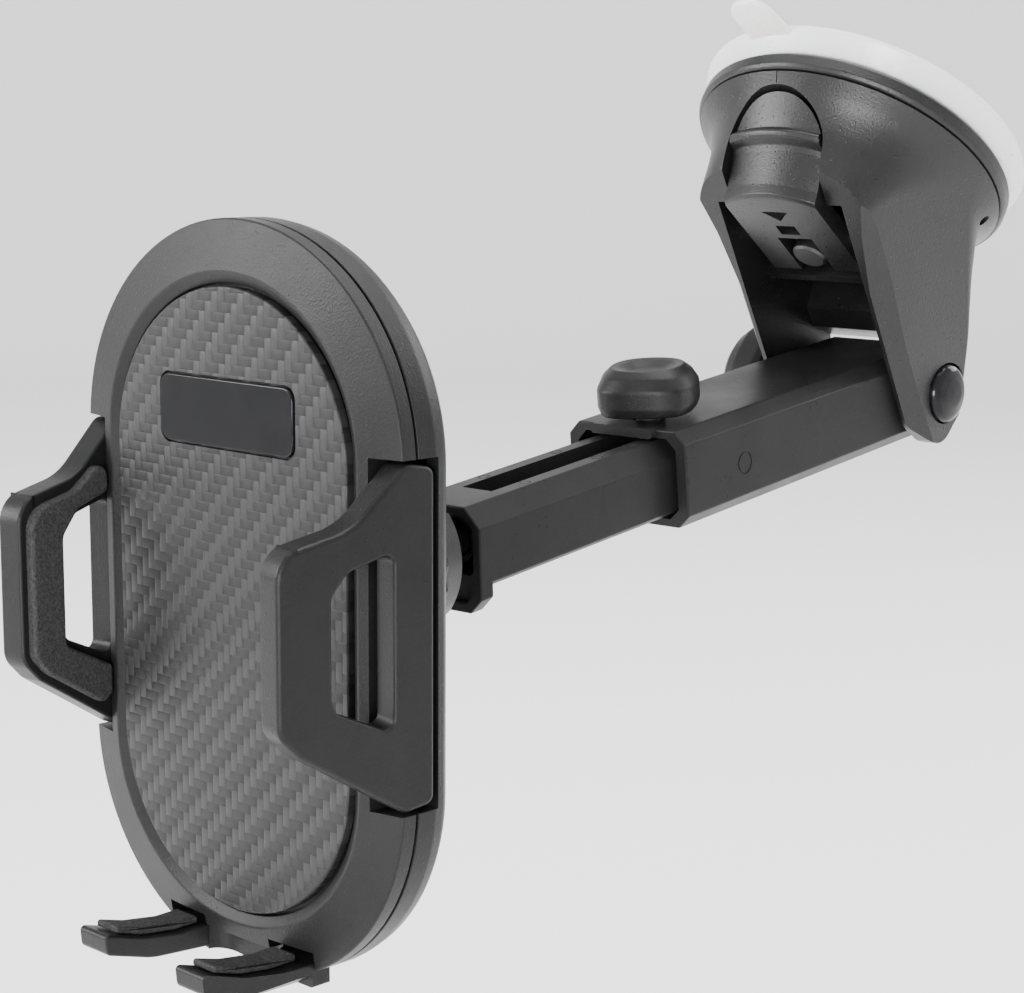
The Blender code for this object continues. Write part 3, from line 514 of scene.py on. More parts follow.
def makeShells():
    front = rounded([(8.3, 1.8, 0), (8.3, 0.85, 0.3), (6.8, 0.0, 0.8), (0.0, 1.45, 0.35),
                     (0.0, shell["parting"], 0.15), (2.0, shell["parting"], 0), (2.0, 3.4, 0)], 4,
                     closed=False)
    toes = [("cut", box((min(s * 6.7, s * 15.1), -5, -60), (max(s * 6.7, s * 15.1), 5.2, -44.2)))
            for s in (1, -1)]
    piece("ringShell", ovalSkin(front), cradleHome, "cradle", "ring", ["front_shell"],
          armNotches(-5, 7.5) + toes + [("cut", box((-15.1, -5, -60), (15.1, 6.0, -45.6)))], sharp=30)
    back = rounded([(12, 11, 0), (9, 11, 0), (5.4, 10.2, 0), (3.4, 9.2, 0), (2, 7.2, 0), (2, 4.1, 0),
                    (0, 4.1, 0.15), (0, 7.0, 2.5), (0.45, 8.9, 2), (1.6, 10.25, 3), (3.6, 11.6, 4),
                    (6.5, 12.6, 6), (10, 13, 4), (12, 13, 0)], 4, closed=False)
    steps = armNotches(-5, 7.5) + [("cut", box((-15.1, 3, -60), (15.1, 10.2, -41.4)))]
    steps.append(("cut", moved(turned([(12.5, -30), (12.5, -17.5), (13.0, -17.2), (13.0, 5)], 72, "y"),
                               ballInCradle)))
    steps.append(("cut", moved(prism(chamfered(6.3, 3.8, 1.2), 7, 20, "y"), (0, 0, 30))))
    for x, z in shell["screws"]:
        steps.append(("cut", moved(turned([(2.7, 11.2), (2.7, 12.6), (3.1, 13.1), (3.1, 20)], 32, "y"),
                                   (x, 0, z))))
    # four shallow ribs that stiffen the back, two each side of the socket
    for x in (-22.0, -19.0, 19.0, 22.0):
        steps.append(("cut", prism(rounded([(x - 0.6, -17, 0.5), (x + 0.6, -17, 0.5), (x + 0.6, 17, 0.5),
                                            (x - 0.6, 17, 0.5)], 4), 12.4, 20, "y")))
    piece("backShell", ovalSkin(back), cradleHome, "cradle", "shell", ["back_shell"], steps, sharp=30)


inlay = {"halfWidth": 23.4, "halfHeight": 41.65, "straight": 19.35, "badge": (13.5, 4.45, 25.2)}


def panel(halfW, halfH, up, r):
    return rounded([(-halfW, up - halfH, r), (halfW, up - halfH, r), (halfW, up + halfH, r),
                    (-halfW, up + halfH, r)], 8)


def makeTrim():
    outline = oval(inlay["halfWidth"], inlay["halfHeight"], inlay["straight"], 64)
    halfW, halfH, up = inlay["badge"]
    sheet = piece("carbonInlay", plate(outline, 0.0, 1.5, "y", edge=0.3), cradleHome, "cradle", "twill",
                  ["inlay_plate"], [("cut", prism(panel(halfW + 0.3, halfH + 0.3, up, 1.9), -2, 0.8, "y"))])
    # the weave is laid out in the cradle's own plane
    inverse = np.array((Matrix.Scale(0.001, 4) @ cradleHome).inverted(), float)
    co = np.zeros(len(sheet.data.vertices) * 3)
    sheet.data.vertices.foreach_get("co", co)
    local = co.reshape(-1, 3) @ inverse[:3, :3].T + inverse[:3, 3]
    corner = np.zeros(len(sheet.data.loops), int)
    sheet.data.loops.foreach_get("vertex_index", corner)
    layer = sheet.data.uv_layers.new(name="flat")
    layer.data.foreach_set("uv", (local[corner][:, [0, 2]] / 100.0).ravel())
    piece("badgePanel", plate(panel(halfW, halfH, up, 1.8), -0.25, 0.5, "y", edge=0.22), cradleHome,
          "cradle", "gloss", ["badge"])


grip = {"lean": 8.5, "thick": 4.3, "rackY": (4.7, 7.3), "pitchRadius": 5.0, "teeth": 12, "travel": 17.0}


def gripHome(side):
    # frame of one arm's leaning plane: ahead of the face, up, and depth from the outer face inwards
    lean = math.radians(grip["lean"])
    columns = ((-side * math.sin(lean), -math.cos(lean), 0), (0, 0, 1),
               (-side * math.cos(lean), math.sin(lean), 0))
    plane = Matrix(columns).transposed().to_4x4()
    plane.translation = Vector((side * shell["halfWidth"], 3.0, 0))
    return cradleHome @ plane


def rackOutline(side):
    # Toothed tongue in x and z; the right arm's runs below the pinion.
    pitch = 2 * math.pi * grip["pitchRadius"] / grip["teeth"]
    reach, root, back = -7.0 - grip["travel"], 27.0, 11.5
    line, tip = grip["pitchRadius"] + 0.95, grip["pitchRadius"] - 0.55
    points = [(root, back), (root, line)]
    for k in range(int((root - 4.0 - reach) / pitch)):
        mid = pitch * (8 - k)
        points += [(mid + 0.95, line), (mid + 0.38, tip), (mid - 0.38, tip), (mid - 0.95, line)]
    points += [(reach, line), (reach, back)]
    return [(-u, v) for u, v in points] if side < 0 else [(u, -v) for u, v in points]


def makeArms():
    outline = rounded([(-3.4, 21.2, 1.4), (0.9, 22.0, 2.0), (8.6, 14.7, 9.0), (16.6, 13.0, 2.0),
                       (19.2, 12.0, 4.2), (19.2, -9.6, 3.2), (16.2, -12.6, 2.0), (0.9, -22.0, 1.6),
                       (-3.4, -21.2, 1.4)], 8)
    window = rounded([(2.6, 11.2, 1.2), (9.2, 9.4, 3.4), (11.6, 6.6, 2.0), (11.6, -7.4, 2.2),
                      (2.6, -11.4, 1.3)], 7)
    padOutline = rounded([(3.9, 17.6, 1.6), (7.6, 14.6, 1.5), (10.0, 12.9, 3.0), (15.0, 11.8, 3.0),
                          (18.1, 10.8, 3.6), (18.1, -9.0, 2.4), (15.6, -11.6, 2.0), (5.6, -17.6, 1.6),
                          (3.9, -16.4, 0.9), (3.9, -12.3, 0.8), (12.4, -8.2, 1.6), (12.4, 7.0, 1.8),
                          (9.6, 10.4, 2.0), (3.9, 12.2, 0.9)], 6)
    for name, side in (("Right", 1), ("Left", -1)):
        body = name.lower() + "_arm"
        node = name.lower()
        home = gripHome(side)
        piece("clampArm" + name, plate(outline, 0.0, grip["thick"], edge=0.7, far=0.45), home, body,
              "shell", ["clamp_arm_" + node],
              [("cut", hole(window, 0.0, grip["thick"], edge=0.5))], sharp=32)
        piece("armPad" + name, plate(padOutline, grip["thick"] - 0.2, grip["thick"] + 1.4, edge=0.1,
                                     far=0.55), home, body, "rubber", ["arm_pad_" + node])
        x0, x1 = sorted((side * 26.3, side * 29.4))
        root = box((x0, grip["rackY"][0] - 0.7, -20.5), (x1, grip["rackY"][1] - 0.7, 20.5))
        piece("armRack" + name, prism(rackOutline(side), *grip["rackY"], "y"), cradleHome, body, "shell",
              ["arm_rack_" + node], [("add", root)], sharp=20)


def makeFoot():
    toe = rounded([(4.4, -45.8, 0), (-3.8, -45.9, 8.0), (-9.3, -45.2, 9.0), (-15.7, -43.3, 0.6),
                   (-15.4, -46.3, 0.9), (-8.0, -48.5, 12.0), (1.5, -49.2, 6.0), (4.4, -49.2, 0)], 6)
    pad = rounded([(0.2, -45.7, 0.2), (-4.0, -45.75, 6.0), (-9.2, -45.1, 6.0), (-13.4, -43.8, 0.3),
                   (-13.3, -42.9, 0.4), (-9.0, -44.1, 6.0), (-3.8, -44.8, 6.0), (0.2, -44.7, 0.4)], 5)
    for name, side in (("Right", 1), ("Left", -1)):
        low, high = sorted((side * 7.3, side * 14.7))
        outer = [(side * 14.9, 1.0), (side * 13.0, -17.0), (side * 18, -17.0), (side * 18, 1.0)]
        under = [(side * 9.5, -50.5), (side * 15.6, -46.7), (side * 15.6, -60), (side * 9.5, -60)]
        piece("toe" + name, plate(toe, low, high, "x", edge=0.35), cradleHome, "foot", "shell",
              steps=[("cut", prism(outer, -60, -40)), ("cut", prism(under, -17, 1.2, "y"))])
        low, high = sorted((side * 8.1, side * 12.6))
        piece("toePad" + name, plate(pad, low, high, "x", edge=0.3), cradleHome, "foot", "rubber",
              ["foot_pad_" + name.lower()])
    x = np.linspace(-14.6, 14.6, 25)
    fall = np.sqrt(1 - (x / shell["halfWidth"]) ** 2)
    edge = -shell["straight"] - (shell["halfHeight"] - shell["straight"]) * fall
    bridge = np.vstack([np.c_[x, edge], [(14.6, -45.9), (-14.6, -45.9)]])
    gap = rounded([(-7.3, -6, 0), (7.3, -6, 0), (7.3, 4.2, 3.2), (-7.3, 4.2, 3.2)], 8)
    plateOutline = [(-11.5, -24.0), (-13.4, -43.0), (-14.2, -46.6), (14.2, -46.6), (13.4, -43.0),
                    (11.5, -24.0)]
    piece("footBridge", prism(bridge, 1.4, 8.7, "y"), cradleHome, "foot", "shell",
          ["foot_bracket"], [("cut", prism(gap, -60, -40))])
    piece("footPlate", prism(plateOutline, 8.0, 9.9, "y"), cradleHome, "foot", "shell")


def makeSocket():
    bore, ballRadius = 8.9, 7.5
    arc = [(bore * math.sin(t), -bore * math.cos(t))
           for t in np.linspace(math.radians(107), math.radians(6), 18)]
    outside = rounded([(4.0, -20.8, 0), (13.6, -20.8, 0), (13.6, -19.3, 0.3), (12.2, -19.3, 0),
                       (12.2, -2.0, 1.0), (10.4, 2.6, 0.5)], 4, closed=False)
    slits = [("cut", moved(box((4.5, -7.5, -0.5), (20, 6, 0.5)), ballInCradle, spin("Y", 45 + 90 * k)))
             for k in range(4)]
    piece("socketCollet", moved(turned(np.vstack([outside, arc]), 80, "y"), ballInCradle), cradleHome,
          "cradle", "shell", ["socket_collet"], slits)

    def knurl(t, h):
        return 1 - 0.035 * (0.5 + 0.5 * np.cos(28 * t)) ** 0.6
    rim = rounded([(13.6, -11.6, 0), (14.9, -11.6, 0.4), (15.6, -10.6, 0.5), (15.6, -5.0, 0.5),
                   (14.6, -3.8, 0.4), (13.6, -3.8, 0)], 3, closed=False)
    piece("ringNut", moved(turned(rim, 224, "y", knurl), ballInCradle), cradleHome, "ring_nut",
          "shell", ["ring_nut"],
          [("cut", moved(turned([(12.5, -14), (12.5, -4.6), (13.4, -3.6), (13.4, 2)], 80, "y"),
                         ballInCradle))])
    ball = [(ballRadius * math.sin(t), -ballReach - ballRadius * math.cos(t))
            for t in np.linspace(math.radians(3), math.radians(154), 26)]
    piece("ballStud", turned(ball + [(3.1, -ballReach + 7.0), (3.1, -108.6), (3.9, -108.6), (3.9, -106.5)],
                             48, "y"), armHome, "ball", "bar", ["ball_stud"])


def makeButton():
    ridges = []
    for z in (-1.8, -0.6, 0.6, 1.8):
        groove = rounded([(-4.0, z - 0.3, 0.25), (4.0, z - 0.3, 0.25), (4.0, z + 0.3, 0.25),
                          (-4.0, z + 0.3, 0.25)], 3)
        ridges.append(("cut", moved(prism(groove, 14.2, 16, "y"), (0, 0, 30))))
    piece("releaseButton", moved(plate(chamfered(6.0, 3.5, 1.1, r=0.9), 9.9, 14.6, "y", edge=0.1, far=0.45),
                                 (0, 0, 30)), cradleHome, "button", "shell", ["release_button"], ridges)
    piece("buttonFlange", moved(prism(chamfered(7.4, 4.9, 1.2), 9.3, 10.6, "y"), (0, 0, 30)), cradleHome,
          "button", "shell")


def crossHead(radius, depth):
    # Cutters for a cross recess at the origin, open to +z.
    arm, half = radius * 0.62, radius * 0.15
    return [("cut", box((-arm, -half, -depth), (arm, half, 1))),
            ("cut", box((-half, -arm, -depth), (half, arm, 1)))]


def makeScrews():
    head = rounded([(1.1, 4.0, 0), (1.1, 11.5, 0), (2.4, 11.5, 0), (2.4, 12.3, 0.3), (1.4, 12.6, 0),
                    (0.1, 12.6, 0)], 3, closed=False)
    for n, (x, z) in enumerate(shell["screws"]):
        recess = [("cut", moved(shape, (x, 12.6, z), spin("X", -90))) for _, shape in crossHead(2.4, 0.8)]
        piece("shellScrew%d" % (n + 1), moved(turned(head, 32, "y"), (x, 0, z)), cradleHome,
              "cradle", "steel", ["shell_screw_%d" % (n + 1)], recess)


def makeSprings():
    piece("armSpring", moved(spring(4.2, 0.3, 0.7, 1.4), (0, 9.0, 0), spin("X", 90)), cradleHome, "cradle",
          "steel", ["arm_spring"])
    piece("buttonSpring", moved(spring(2.0, 0.3, 1.05, 3), (0, 4.15, 30), spin("X", -90)), cradleHome,
          "cradle", "steel", ["button_spring"])
    piece("stemSpring", moved(spring(7.2, 0.7, 2.3, 3), (0, suckerCentre.y, 18.8)), baseHome, "base",
          "steel", ["stem_spring"])


makeShells()
makeTrim()
makeArms()
makeFoot()
makeSocket()
makeButton()
makeScrews()
makeSprings()
print("cradle made")


arm = {"tube": (11.5, 7.67), "bore": (9.6, 6.35), "mouth": -68.5, "floor": -12.5, "bar": (8.24, 5.83),
       "barRear": -38.5, "flangeFront": -112.2, "flangeThick": 2.8, "flangeDrop": 9.5, "knob": -62.2}


def lobedKnob(radius, side, crown, lobes=4, scallop=0.13):
    # Clamp knob on z = 0: scalloped side, sloping shoulder and dished top.
    def squeeze(t, h):
        wave = (0.5 + 0.5 * np.cos(lobes * t)) ** 0.7
        fade = min(1.0, max(0.0, (crown - h) / (crown - side)))
        return 1 - scallop * wave * (0.25 + 0.75 * fade)
    profile = rounded([(0.62 * radius, 0.0, 0), (0.93 * radius, 0.2, 0.6), (radius, 1.6, 1.0),
                       (radius, side, 1.2),
                       (0.84 * radius, side + 0.62 * (crown - side), 2.2), (0.66 * radius, crown, 0.7),
                       (0.52 * radius, crown - 0.25, 1.2), (0.3 * radius, crown - 1.0, 1.5),
                       (0.02 * radius, crown - 1.1, 0)], 5, closed=False)
    return turned(profile, 128, wobble=squeeze)


def mark(radius, at, turn, depth=0.12, width=0.3):
    # Cutter for the ring-shaped trace of an ejector pin, on a face at the origin of the turn.
    return moved(tyre([(radius, -depth), (radius + width, -depth), (radius + width, 1), (radius, 1)], 48),
                 at, turn)


def makeTube():
    halfW, halfH = arm["tube"]
    outline = chamfered(halfW, halfH, 2.1, r=0.6)
    angle = np.linspace(0, math.pi, 25)
    end = np.vstack([[(-80, -20), (0, -20)], np.c_[8.3 * np.sin(angle), -8.3 * np.cos(angle)],
                     [(0, 20), (-80, 20)]])
    lip = chamfered(6.0, 0.8, 0.45, r=0.12, mid=7.1)
    steps = [("keep", prism(end, -20, 20, "x")),
             ("add", prism(lip, arm["mouth"] - 1.2, arm["mouth"] + 3, "y")),
             ("cut", prism(chamfered(*arm["bore"], 1.7, r=0.3), arm["mouth"] - 5, arm["floor"], "y")),
             ("cut", turned([(2.8, -20), (2.8, 20)], 32, "x")),
             ("cut", turned([(6.3, 10.9), (6.3, 20)], 48, "x")),
             ("cut", turned([(6.3, -20), (6.3, -10.9)], 48, "x")),
             ("cut", moved(turned([(2.8, 4), (2.8, 12)], 32), (0, arm["knob"], 0))),
             ("cut", mark(1.55, (halfW, -53.5, -0.4), spin("Y", 90))),
             ("cut", mark(1.55, (-halfW, -53.5, -0.4), spin("Y", -90)))]
    piece("outerTube", plate(outline, arm["mouth"], 12, "y", edge=0.3), armHome, "outer_arm", "bar",
          ["outer_tube"], steps, sharp=28)
    knob = lobedKnob(8.8, 4.4, 7.4)
    piece("tubeKnob", moved(knob, (0, arm["knob"], 8.8), spin("Z", 25)), armHome, "tube_knob", "shell",
          ["tube_knob"], [("cut", moved(turned([(2.8, -1), (2.8, 5.3)], 32), (0, arm["knob"], 8.8)))])
    depth, pitch, start, run = 0.35, 0.9, 4.6, 7.2
    thread = [(2.1 + depth * (0.5 - 0.5 * math.cos(2 * math.pi * h / pitch)), start + h)
              for h in np.arange(0, run, pitch / 6)]
    piece("clampScrew", moved(turned([(1.5, 4.3)] + thread + [(2.4, 11.9), (2.4, 13.5)], 32),
                              (0, arm["knob"], 0)), armHome, "tube_knob", "steel", ["clamp_screw"])


def makeBar():
    halfW, halfH = arm["bar"]
    mid, tall = (halfH - arm["flangeDrop"]) / 2, (halfH + arm["flangeDrop"]) / 2
    shear = math.tan(math.radians(4))

    def slant(p):
        return np.stack([p[:, 0], p[:, 1] + shear * p[:, 2], p[:, 2]], -1)
    front = arm["flangeFront"]
    head = mapped(plate(chamfered(halfW, tall, 2.9, 2.2, r=0.5, mid=mid), front, front + arm["flangeThick"],
                        "y", edge=0.35), slant)
    pocket = mapped(prism(chamfered(halfW - 1.3, tall - 1.4, 2.5, 1.6, r=0.3, mid=mid), -125, front + 0.9,
                          "y"), slant)
    slot = rounded([(-103.0, 8, 0), (-103.0, 4.6, 0), (-102.0, 2.6, 1.5), (-100.2, 1.2, 1.0), (0, 1.2, 0),
                    (0, 8, 0)], 5)
    steps = [("add", head), ("cut", prism(slot, -2.9, 2.9, "x")), ("cut", pocket),
             ("cut", prism(chamfered(halfW - 1.3, 4.2, 1.4, r=0.3), -125, -106.0, "y"))]
    for y in (-97.0, -80.5):
        for x in (-4.0, 4.0):
            steps.append(("cut", mark(0.75, (x, y, halfH), None, 0.08, 0.18)))
    piece("innerBar", plate(chamfered(halfW, halfH, 2.9, 0.7, r=0.45), -111.2, arm["barRear"], "y",
                            edge=0.3), armHome, "inner_arm", "bar", ["inner_bar"], steps, sharp=28)
    piece("barGlide", plate(chamfered(9.2, 5.9, 1.5, r=0.4), arm["barRear"] + 0.3, arm["barRear"] + 4.3,
                            "y", edge=0.3), armHome, "inner_arm", "nylon", ["bar_glide"])


makeTube()
makeBar()
print("arm made")


bell = {"levels": 56, "corner": 14, "earOuter": 15.5, "earInner": 12.3, "pin": (-30.1, 11.5), "lever": 9.0,
        "leverGap": 0.5, "deck": (16.8, 18.6)}


def bellRing(half, front, rear, ahead, behind):
    return rounded([(-half, front, ahead), (half, front, ahead), (half, rear, behind),
                    (-half, rear, behind)], bell["corner"])


def makeSucker():
    centre = (0, suckerCentre.y, 0)
    cup = rounded([(25.4, 28.9, 0), (26.4, 29.1, 0.5), (27.7, 30.9, 3.0), (28.6, 32.3, 0.5),
                   (28.6, 32.8, 0.15), (28.3, 33.0, 0)], 5, closed=False)
    tab = rounded([(-4.2, -26, 0), (4.2, -26, 0), (3.8, -36.3, 3.4), (-3.8, -36.3, 3.4)], 10)
    steps = [("add", moved(plate(tab, 31.4, 32.6, edge=0.35), centre, spin("Z", -8))),
             ("cut", moved(turned([(11.0, 26.9), (11.0, 31.9)], 64), centre))]
    piece("suctionPad", moved(turned(cup, 160), centre), baseHome, "base", "gel",
          ["suction_pad"], steps)
    ring = rounded([(9.6, 26.7, 0.2), (26.0, 26.7, 0), (26.0, 25.4, 0.15), (27.2, 25.4, 0.5),
                    (27.6, 26.1, 0.4), (27.6, 27.9, 0.5), (26.9, 28.6, 0.3), (9.6, 28.6, 0.2)], 4)
    screws = [(16.5 * math.cos(t), 16.5 * math.sin(t)) for t in (math.radians(35), math.radians(145))]
    piece("rimPlate", moved(tyre(ring, 160), centre), baseHome, "base", "bell", ["base_plate"],
          [("cut", moved(turned([(1.5, 26), (1.5, 27.5), (2.6, 27.5), (2.6, 30)], 32),
                         (x, y + suckerCentre.y, 0))) for x, y in screws])


def earChamfer(side):
    # Cutter that chamfers the front edge of one ear and fades out below the lever.
    start, end = np.array((-48.0, 11.0)), np.array((0.0, -10.85))
    run = (end - start) / np.linalg.norm(end - start)
    inward = np.array((run[1], -run[0])) * -1
    rings = []
    for t, fade in ((0.0, 4.5), (0.22, 1.6), (0.42, 0.2), (1.1, 0.0)):
        at = start + (end - start) * t
        x = 12.9 + fade
        rings.append([(side * x0, *(at + inward * depth)) for x0, depth in
                      ((x - 1.4, -1.5), (x + 12.0, -1.5), (x + 12.0, 13.0), (x + 11.2, 12.2))])
    return skin(rings)


def makeHousing():
    knots = [(25.1, 26.8, -56.9, -3.3, 26.7, 26.7), (22.4, 23.4, -54.9, -6.4, 22.9, 20.0),
             (18.5, 20.6, -52.6, -6.2, 18.5, 12.0), (14.5, 18.4, -50.4, -3.9, 13.0, 6.0),
             (10.5, 17.0, -48.4, -0.8, 8.5, 2.6), (6.2, 16.1, -46.4, 2.6, 5.5, 1.6),
             (1.3, 15.5, -44.0, 6.0, 3.5, 1.2), (-11.0, 15.5, -40.0, 12.0, 3.0, 1.2)]
    heights, rows = smoothPath(knots, bell["levels"])
    rings = list(along([bellRing(*row) for row in rows], heights, "z"))
    top = bellRing(25.6, -55.7, -4.5, 25.5, 25.5)
    rings += list(along([top, top], [25.2, 26.4], "z"))
    view = rounded([(-70, 30, 0), (-70, 20.9, 0), (-46.5, 10.3, 0), (-3.6, -9.2, 5.0), (4.9, -8.6, 5.0),
                    (6.4, 1.0, 3.0), (-7.8, 23.6, 0), (10, 26.5, 0), (10, 30, 0)], 10)
    low, high = bell["deck"]
    slot = [(-43.0, -20), (20, -20), (20, 9.8), (0, 9.9), (-6.0, 7.8), (-9.6, 9.4), (-11.5, low),
            (-43.0, low)]
    half = bell["lever"] + bell["leverGap"]
    arch = rounded([(-half, -5, 0), (-half, 23.4, 9.0), (half, 23.4, 9.0), (half, -5, 0)], 16)
    centre = (0, suckerCentre.y, 0)
    steps = [("keep", prism(view, -40, 40, "x")), ("cut", prism(slot, -12.3, 12.3, "x")),
             ("cut", prism(arch, -64, -42.5, "y")),
             ("cut", moved(turned([(18.0, high), (22.0, 26), (22.0, 30)], 72), centre)),
             ("cut", moved(turned([(5.6, 10), (5.6, 22)], 40), centre)),
             ("cut", turned([(2.8, -30), (2.8, 30)], 32, "x")),
             ("cut", turned([(5.3, 13.6), (5.3, 30)], 48, "x")),
             ("cut", moved(turned([(1.65, -14.2), (1.65, 14.2)], 24, "x"), (0, *bell["pin"]))),
             ("add", box((-13.3, -23.9, 7.2), (13.3, -22.3, low + 1))),
             ("cut", earChamfer(1)), ("cut", earChamfer(-1)),
             # mould seam above the lever, and the hole of the tether beside the rim
             ("cut", box((-0.09, -58, 23.6), (0.09, -50, 30))),
             ("cut", moved(turned([(0.8, -1), (0.8, 8)], 24, "x"), (21.0, -19.0, 22.9)))]
    piece("bellHousing", skin(rings), baseHome, "base", "bell", ["base_housing"], steps, sharp=30)


def makeLever():
    y0, z0 = bell["pin"]
    skinLine = [(0.1, 6.9, 0), (17.0, 6.9, 0), (17.7, 7.3, 0.5), (18.1, 9.0, 1.0), (20.0, 14.4, 0.8),
                (20.5, 15.2, 0.4), (22.2, 15.6, 0.6), (22.7, 16.4, 0.6), (22.4, 17.1, 0.4),
                (21.8, 17.4, 0.3), (24.4, 22.9, 0), (22.0, 22.9, 0), (19.3, 17.0, 0), (15.6, 10.0, 0),
                (0.1, 10.0, 0)]
    profile = rounded(skinLine, 4, closed=False)
    half = bell["lever"]
    arch = rounded([(-half, -8 + z0, 0), (half, -8 + z0, 0), (half, 22.8, 8.5), (-half, 22.8, 8.5)], 16)
    arrow = [(-2.6, -43.2), (2.6, -43.2), (0.0, -40.6)]
    boss = np.array([(4.0 * math.cos(t), 4.0 * math.sin(t))
                     for t in np.linspace(0, 2 * math.pi, 40, endpoint=False)])
    steps = [("keep", prism(arch, -62, y0 + 3.8, "y")),
             ("add", moved(plate(boss, -half, half, "x", edge=0.3), (0, y0, z0))),
             ("cut", moved(turned([(1.9, -12), (1.9, 12)], 32, "x"), (0, y0, z0))),
             ("cut", box((-3.4, -35.6, 4), (3.4, -25.6, 18))),
             ("cut", box((-1.9, -39.2, 4), (1.9, -36.7, 12))), ("cut", prism(arrow, 4, 7.9))]
    piece("lockLever", moved(turned(profile, 144), (0, suckerCentre.y, 0)), baseHome, "lever", "bell",
          ["lock_lever"], steps, sharp=30)
    foot = z0 - 1.6 - 2.0
    stem = rounded([(2.6, foot - 1.1, 0), (3.0, foot - 0.7, 0), (3.0, 19.6, 0.3), (4.9, 22.0, 0.5),
                    (4.9, 27.3, 0.3), (9.0, 28.3, 0.3), (9.0, 29.6, 0.2), (8.4, 29.6, 0)], 3, closed=False)
    slotOutline = rounded([(-2.1, foot - 0.3, 1.9), (2.1, foot - 0.3, 1.9), (2.1, z0 + 1.9, 1.9),
                           (-2.1, z0 + 1.9, 1.9)], 6)
    piece("suctionStem", moved(turned(stem, 56), (0, y0, 0)), baseHome, "stem", "dullSteel",
          ["suction_stem"], [("cut", moved(prism(slotOutline, -5, 5, "x"), (0, y0, 0)))])


def makePivot():
    dome = rounded([(5.0, 15.4, 0), (5.0, 15.8, 0.2), (4.7, 16.3, 0.8), (3.9, 16.75, 2.0),
                    (2.4, 17.05, 4.0), (0.1, 17.15, 0)], 5, closed=False)
    piece("pivotCap", turned(dome, 72, "x"), baseHome, "base", "gloss",
          ["pivot_cap"], sharp=50)
    place, turn = (-18.9, 0, 0), spin("Y", -90)
    piece("pivotKnob", moved(lobedKnob(9.2, 5.2, 8.6), place, turn), baseHome, "pivot_knob", "shell",
          ["pivot_knob"], [("add", moved(turned([(5.2, -2.5), (5.2, 1.0)], 48), place, turn)),
                                    ("cut", moved(turned([(2.8, -5), (2.8, 5.6)], 32), place, turn))])
    piece("pivotBolt", turned([(2.5, -24.0), (2.5, 13.9), (4.2, 13.9), (4.2, 15.1)], 40, "x"), baseHome,
          "base", "steel", ["pivot_bolt"])


makeSucker()
makeHousing()
makeLever()
makePivot()
print("base made")

# what stays CAD only needs a finish
plain = {"steel": ["plate_screw_right", "plate_screw_left", "lever_pin", "pinion_pin", "latch_pawl",
                   "pawl_pin"],
         "nylon": ["pivot_washer_right", "pivot_washer_left", "clamp_shoe", "ball_liner", "pinion_gear"]}
for slot, names in plain.items():
    for name in names:
        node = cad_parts[name]
        node.data.materials.clear()
        node.data.materials.append(looks[slot])


studio = {"floor": 0.93, "drop": 0.12, "flat": 1.7, "wall": 2.5, "height": 1.5, "around": 96, "sky": 1.2}


def makeStage():
    # a flat disc that turns up into a wall all round, on a quarter ellipse
    look, shader, place = newLook("paleFloor", {"Roughness": 0.9, "Specular IOR Level": 0.1})
    feed(shader, colour=place.noise(0.002).colours((studio["floor"],) * 3, (studio["floor"] + 0.01,) * 3))
    t = np.linspace(0, math.pi / 2, 12)
    radius = np.r_[0.01, 0.6, 1.2, studio["flat"] + (studio["wall"] - studio["flat"]) * np.sin(t)]
    height = np.r_[0, 0, 0, studio["height"] * (1 - np.cos(t))] + sizeBefore[0].z - studio["drop"]
    turn = np.arange(studio["around"]) * 2 * math.pi / studio["around"]
    rings = np.stack([np.outer(radius, np.cos(turn)), np.outer(radius, np.sin(turn)),
                      np.broadcast_to(height[:, None], (len(radius), len(turn)))], -1)
    points, faces = skin(rings)
    mesh = bpy.data.meshes.new("floor")
    mesh.from_pydata(points.tolist(), [], faces[:-1])
    mesh.shade_smooth()
    mesh.materials.append(look)
    floor = bpy.data.objects.new("floor", mesh)
    bpy.context.scene.collection.objects.link(floor)


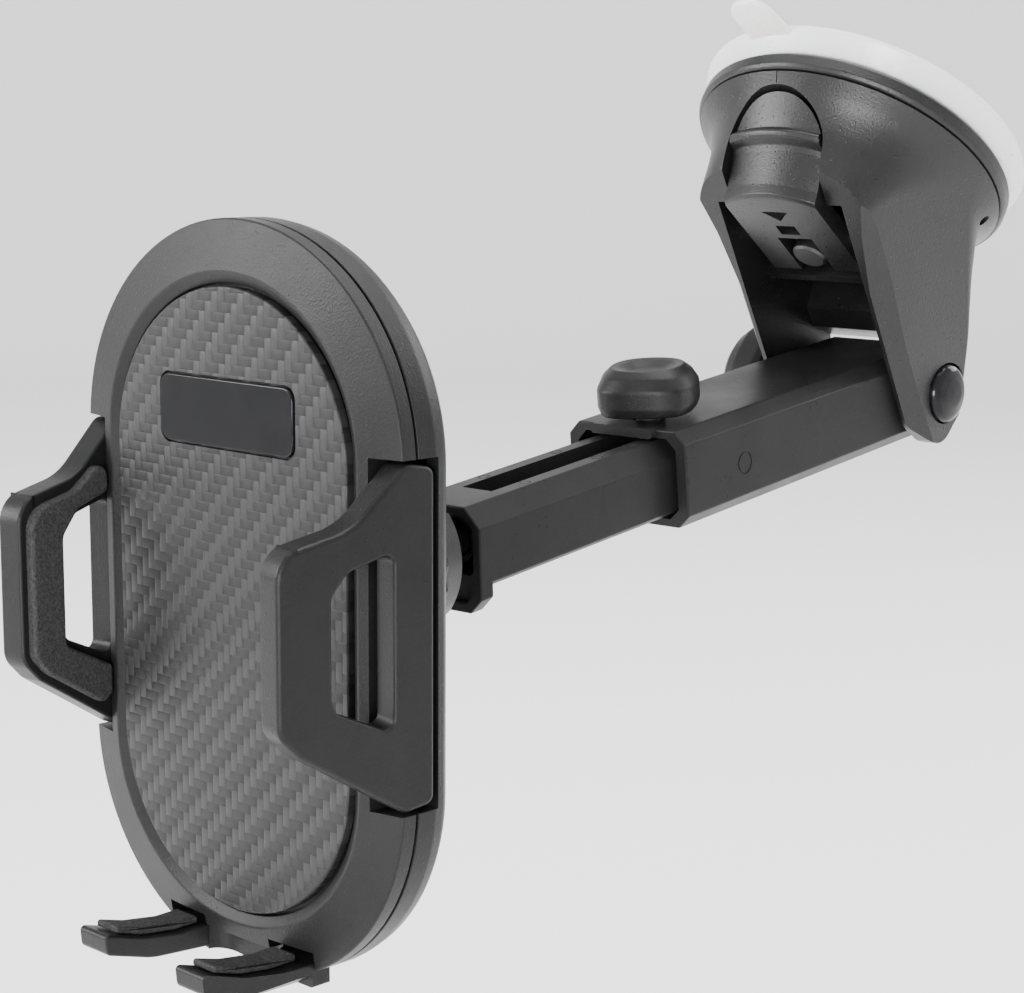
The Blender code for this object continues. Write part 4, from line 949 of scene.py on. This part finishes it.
lights = [  # name, place, size, power, aim
    ("keySoftbox", (-0.75, -0.85, 0.30), 0.42, 15.0, (0, -0.12, -0.03)),
    ("frontSoftbox", (0.55, -1.15, 0.02), 0.36, 17.0, (0, -0.02, -0.02)),
    ("overhead", (0.05, 0.1, 1.0), 0.9, 18.0, (0, -0.07, -0.05)),
    ("backRim", (0.25, 0.95, 0.5), 0.6, 8.0, (0, -0.05, -0.04)),
]


def makeLights():
    for name, place, size, power, aim in lights:
        data = bpy.data.lights.new(name, "AREA")
        data.shape = "SQUARE"
        data.size = size
        data.energy = power
        lamp = bpy.data.objects.new(name, data)
        lamp.location = place
        lamp.rotation_mode = "QUATERNION"
        lamp.rotation_quaternion = (Vector(place) - Vector(aim)).to_track_quat("Z", "Y")
        bpy.context.scene.collection.objects.link(lamp)
    world = bpy.data.worlds.new("studio")
    world.use_nodes = True
    world.node_tree.nodes["Background"].inputs["Color"].default_value = (1, 1, 1, 1)
    world.node_tree.nodes["Background"].inputs["Strength"].default_value = studio["sky"]
    bpy.context.scene.world = world


view = {"bearing": 0.77811, "rise": 0.18338, "roll": 0.0057785, "place": (235.411, -187.699, 62.963),
        "sensor": 36.0, "lens": 81.917, "shift": (0.00866, 0.05274), "near": 0.01, "far": 20}


def makeCamera():
    # placed in the cradle's frame, from a bearing and a rise about its face
    bearing, rise, roll = view["bearing"], view["rise"], view["roll"]
    back = Vector((math.sin(bearing) * math.cos(rise), -math.cos(bearing) * math.cos(rise), math.sin(rise)))
    right = Vector((math.cos(bearing), math.sin(bearing), 0))
    up = right.cross(-back)
    c, s = math.cos(roll), math.sin(roll)
    right, up = right * c + up * s, up * c - right * s
    local = Matrix((right, up, back)).transposed().to_4x4()
    local.translation = Vector(view["place"])
    world = cradleHome @ local
    world.translation = world.translation * 0.001
    data = bpy.data.cameras.new("mainView")
    data.sensor_width = view["sensor"]
    data.lens = view["lens"]
    data.shift_x, data.shift_y = view["shift"]
    data.clip_start, data.clip_end = view["near"], view["far"]
    camera = bpy.data.objects.new("mainView", data)
    camera.matrix_world = world
    bpy.context.scene.collection.objects.link(camera)
    bpy.context.scene.camera = camera


makeStage()
makeLights()
makeCamera()
print("stage made")
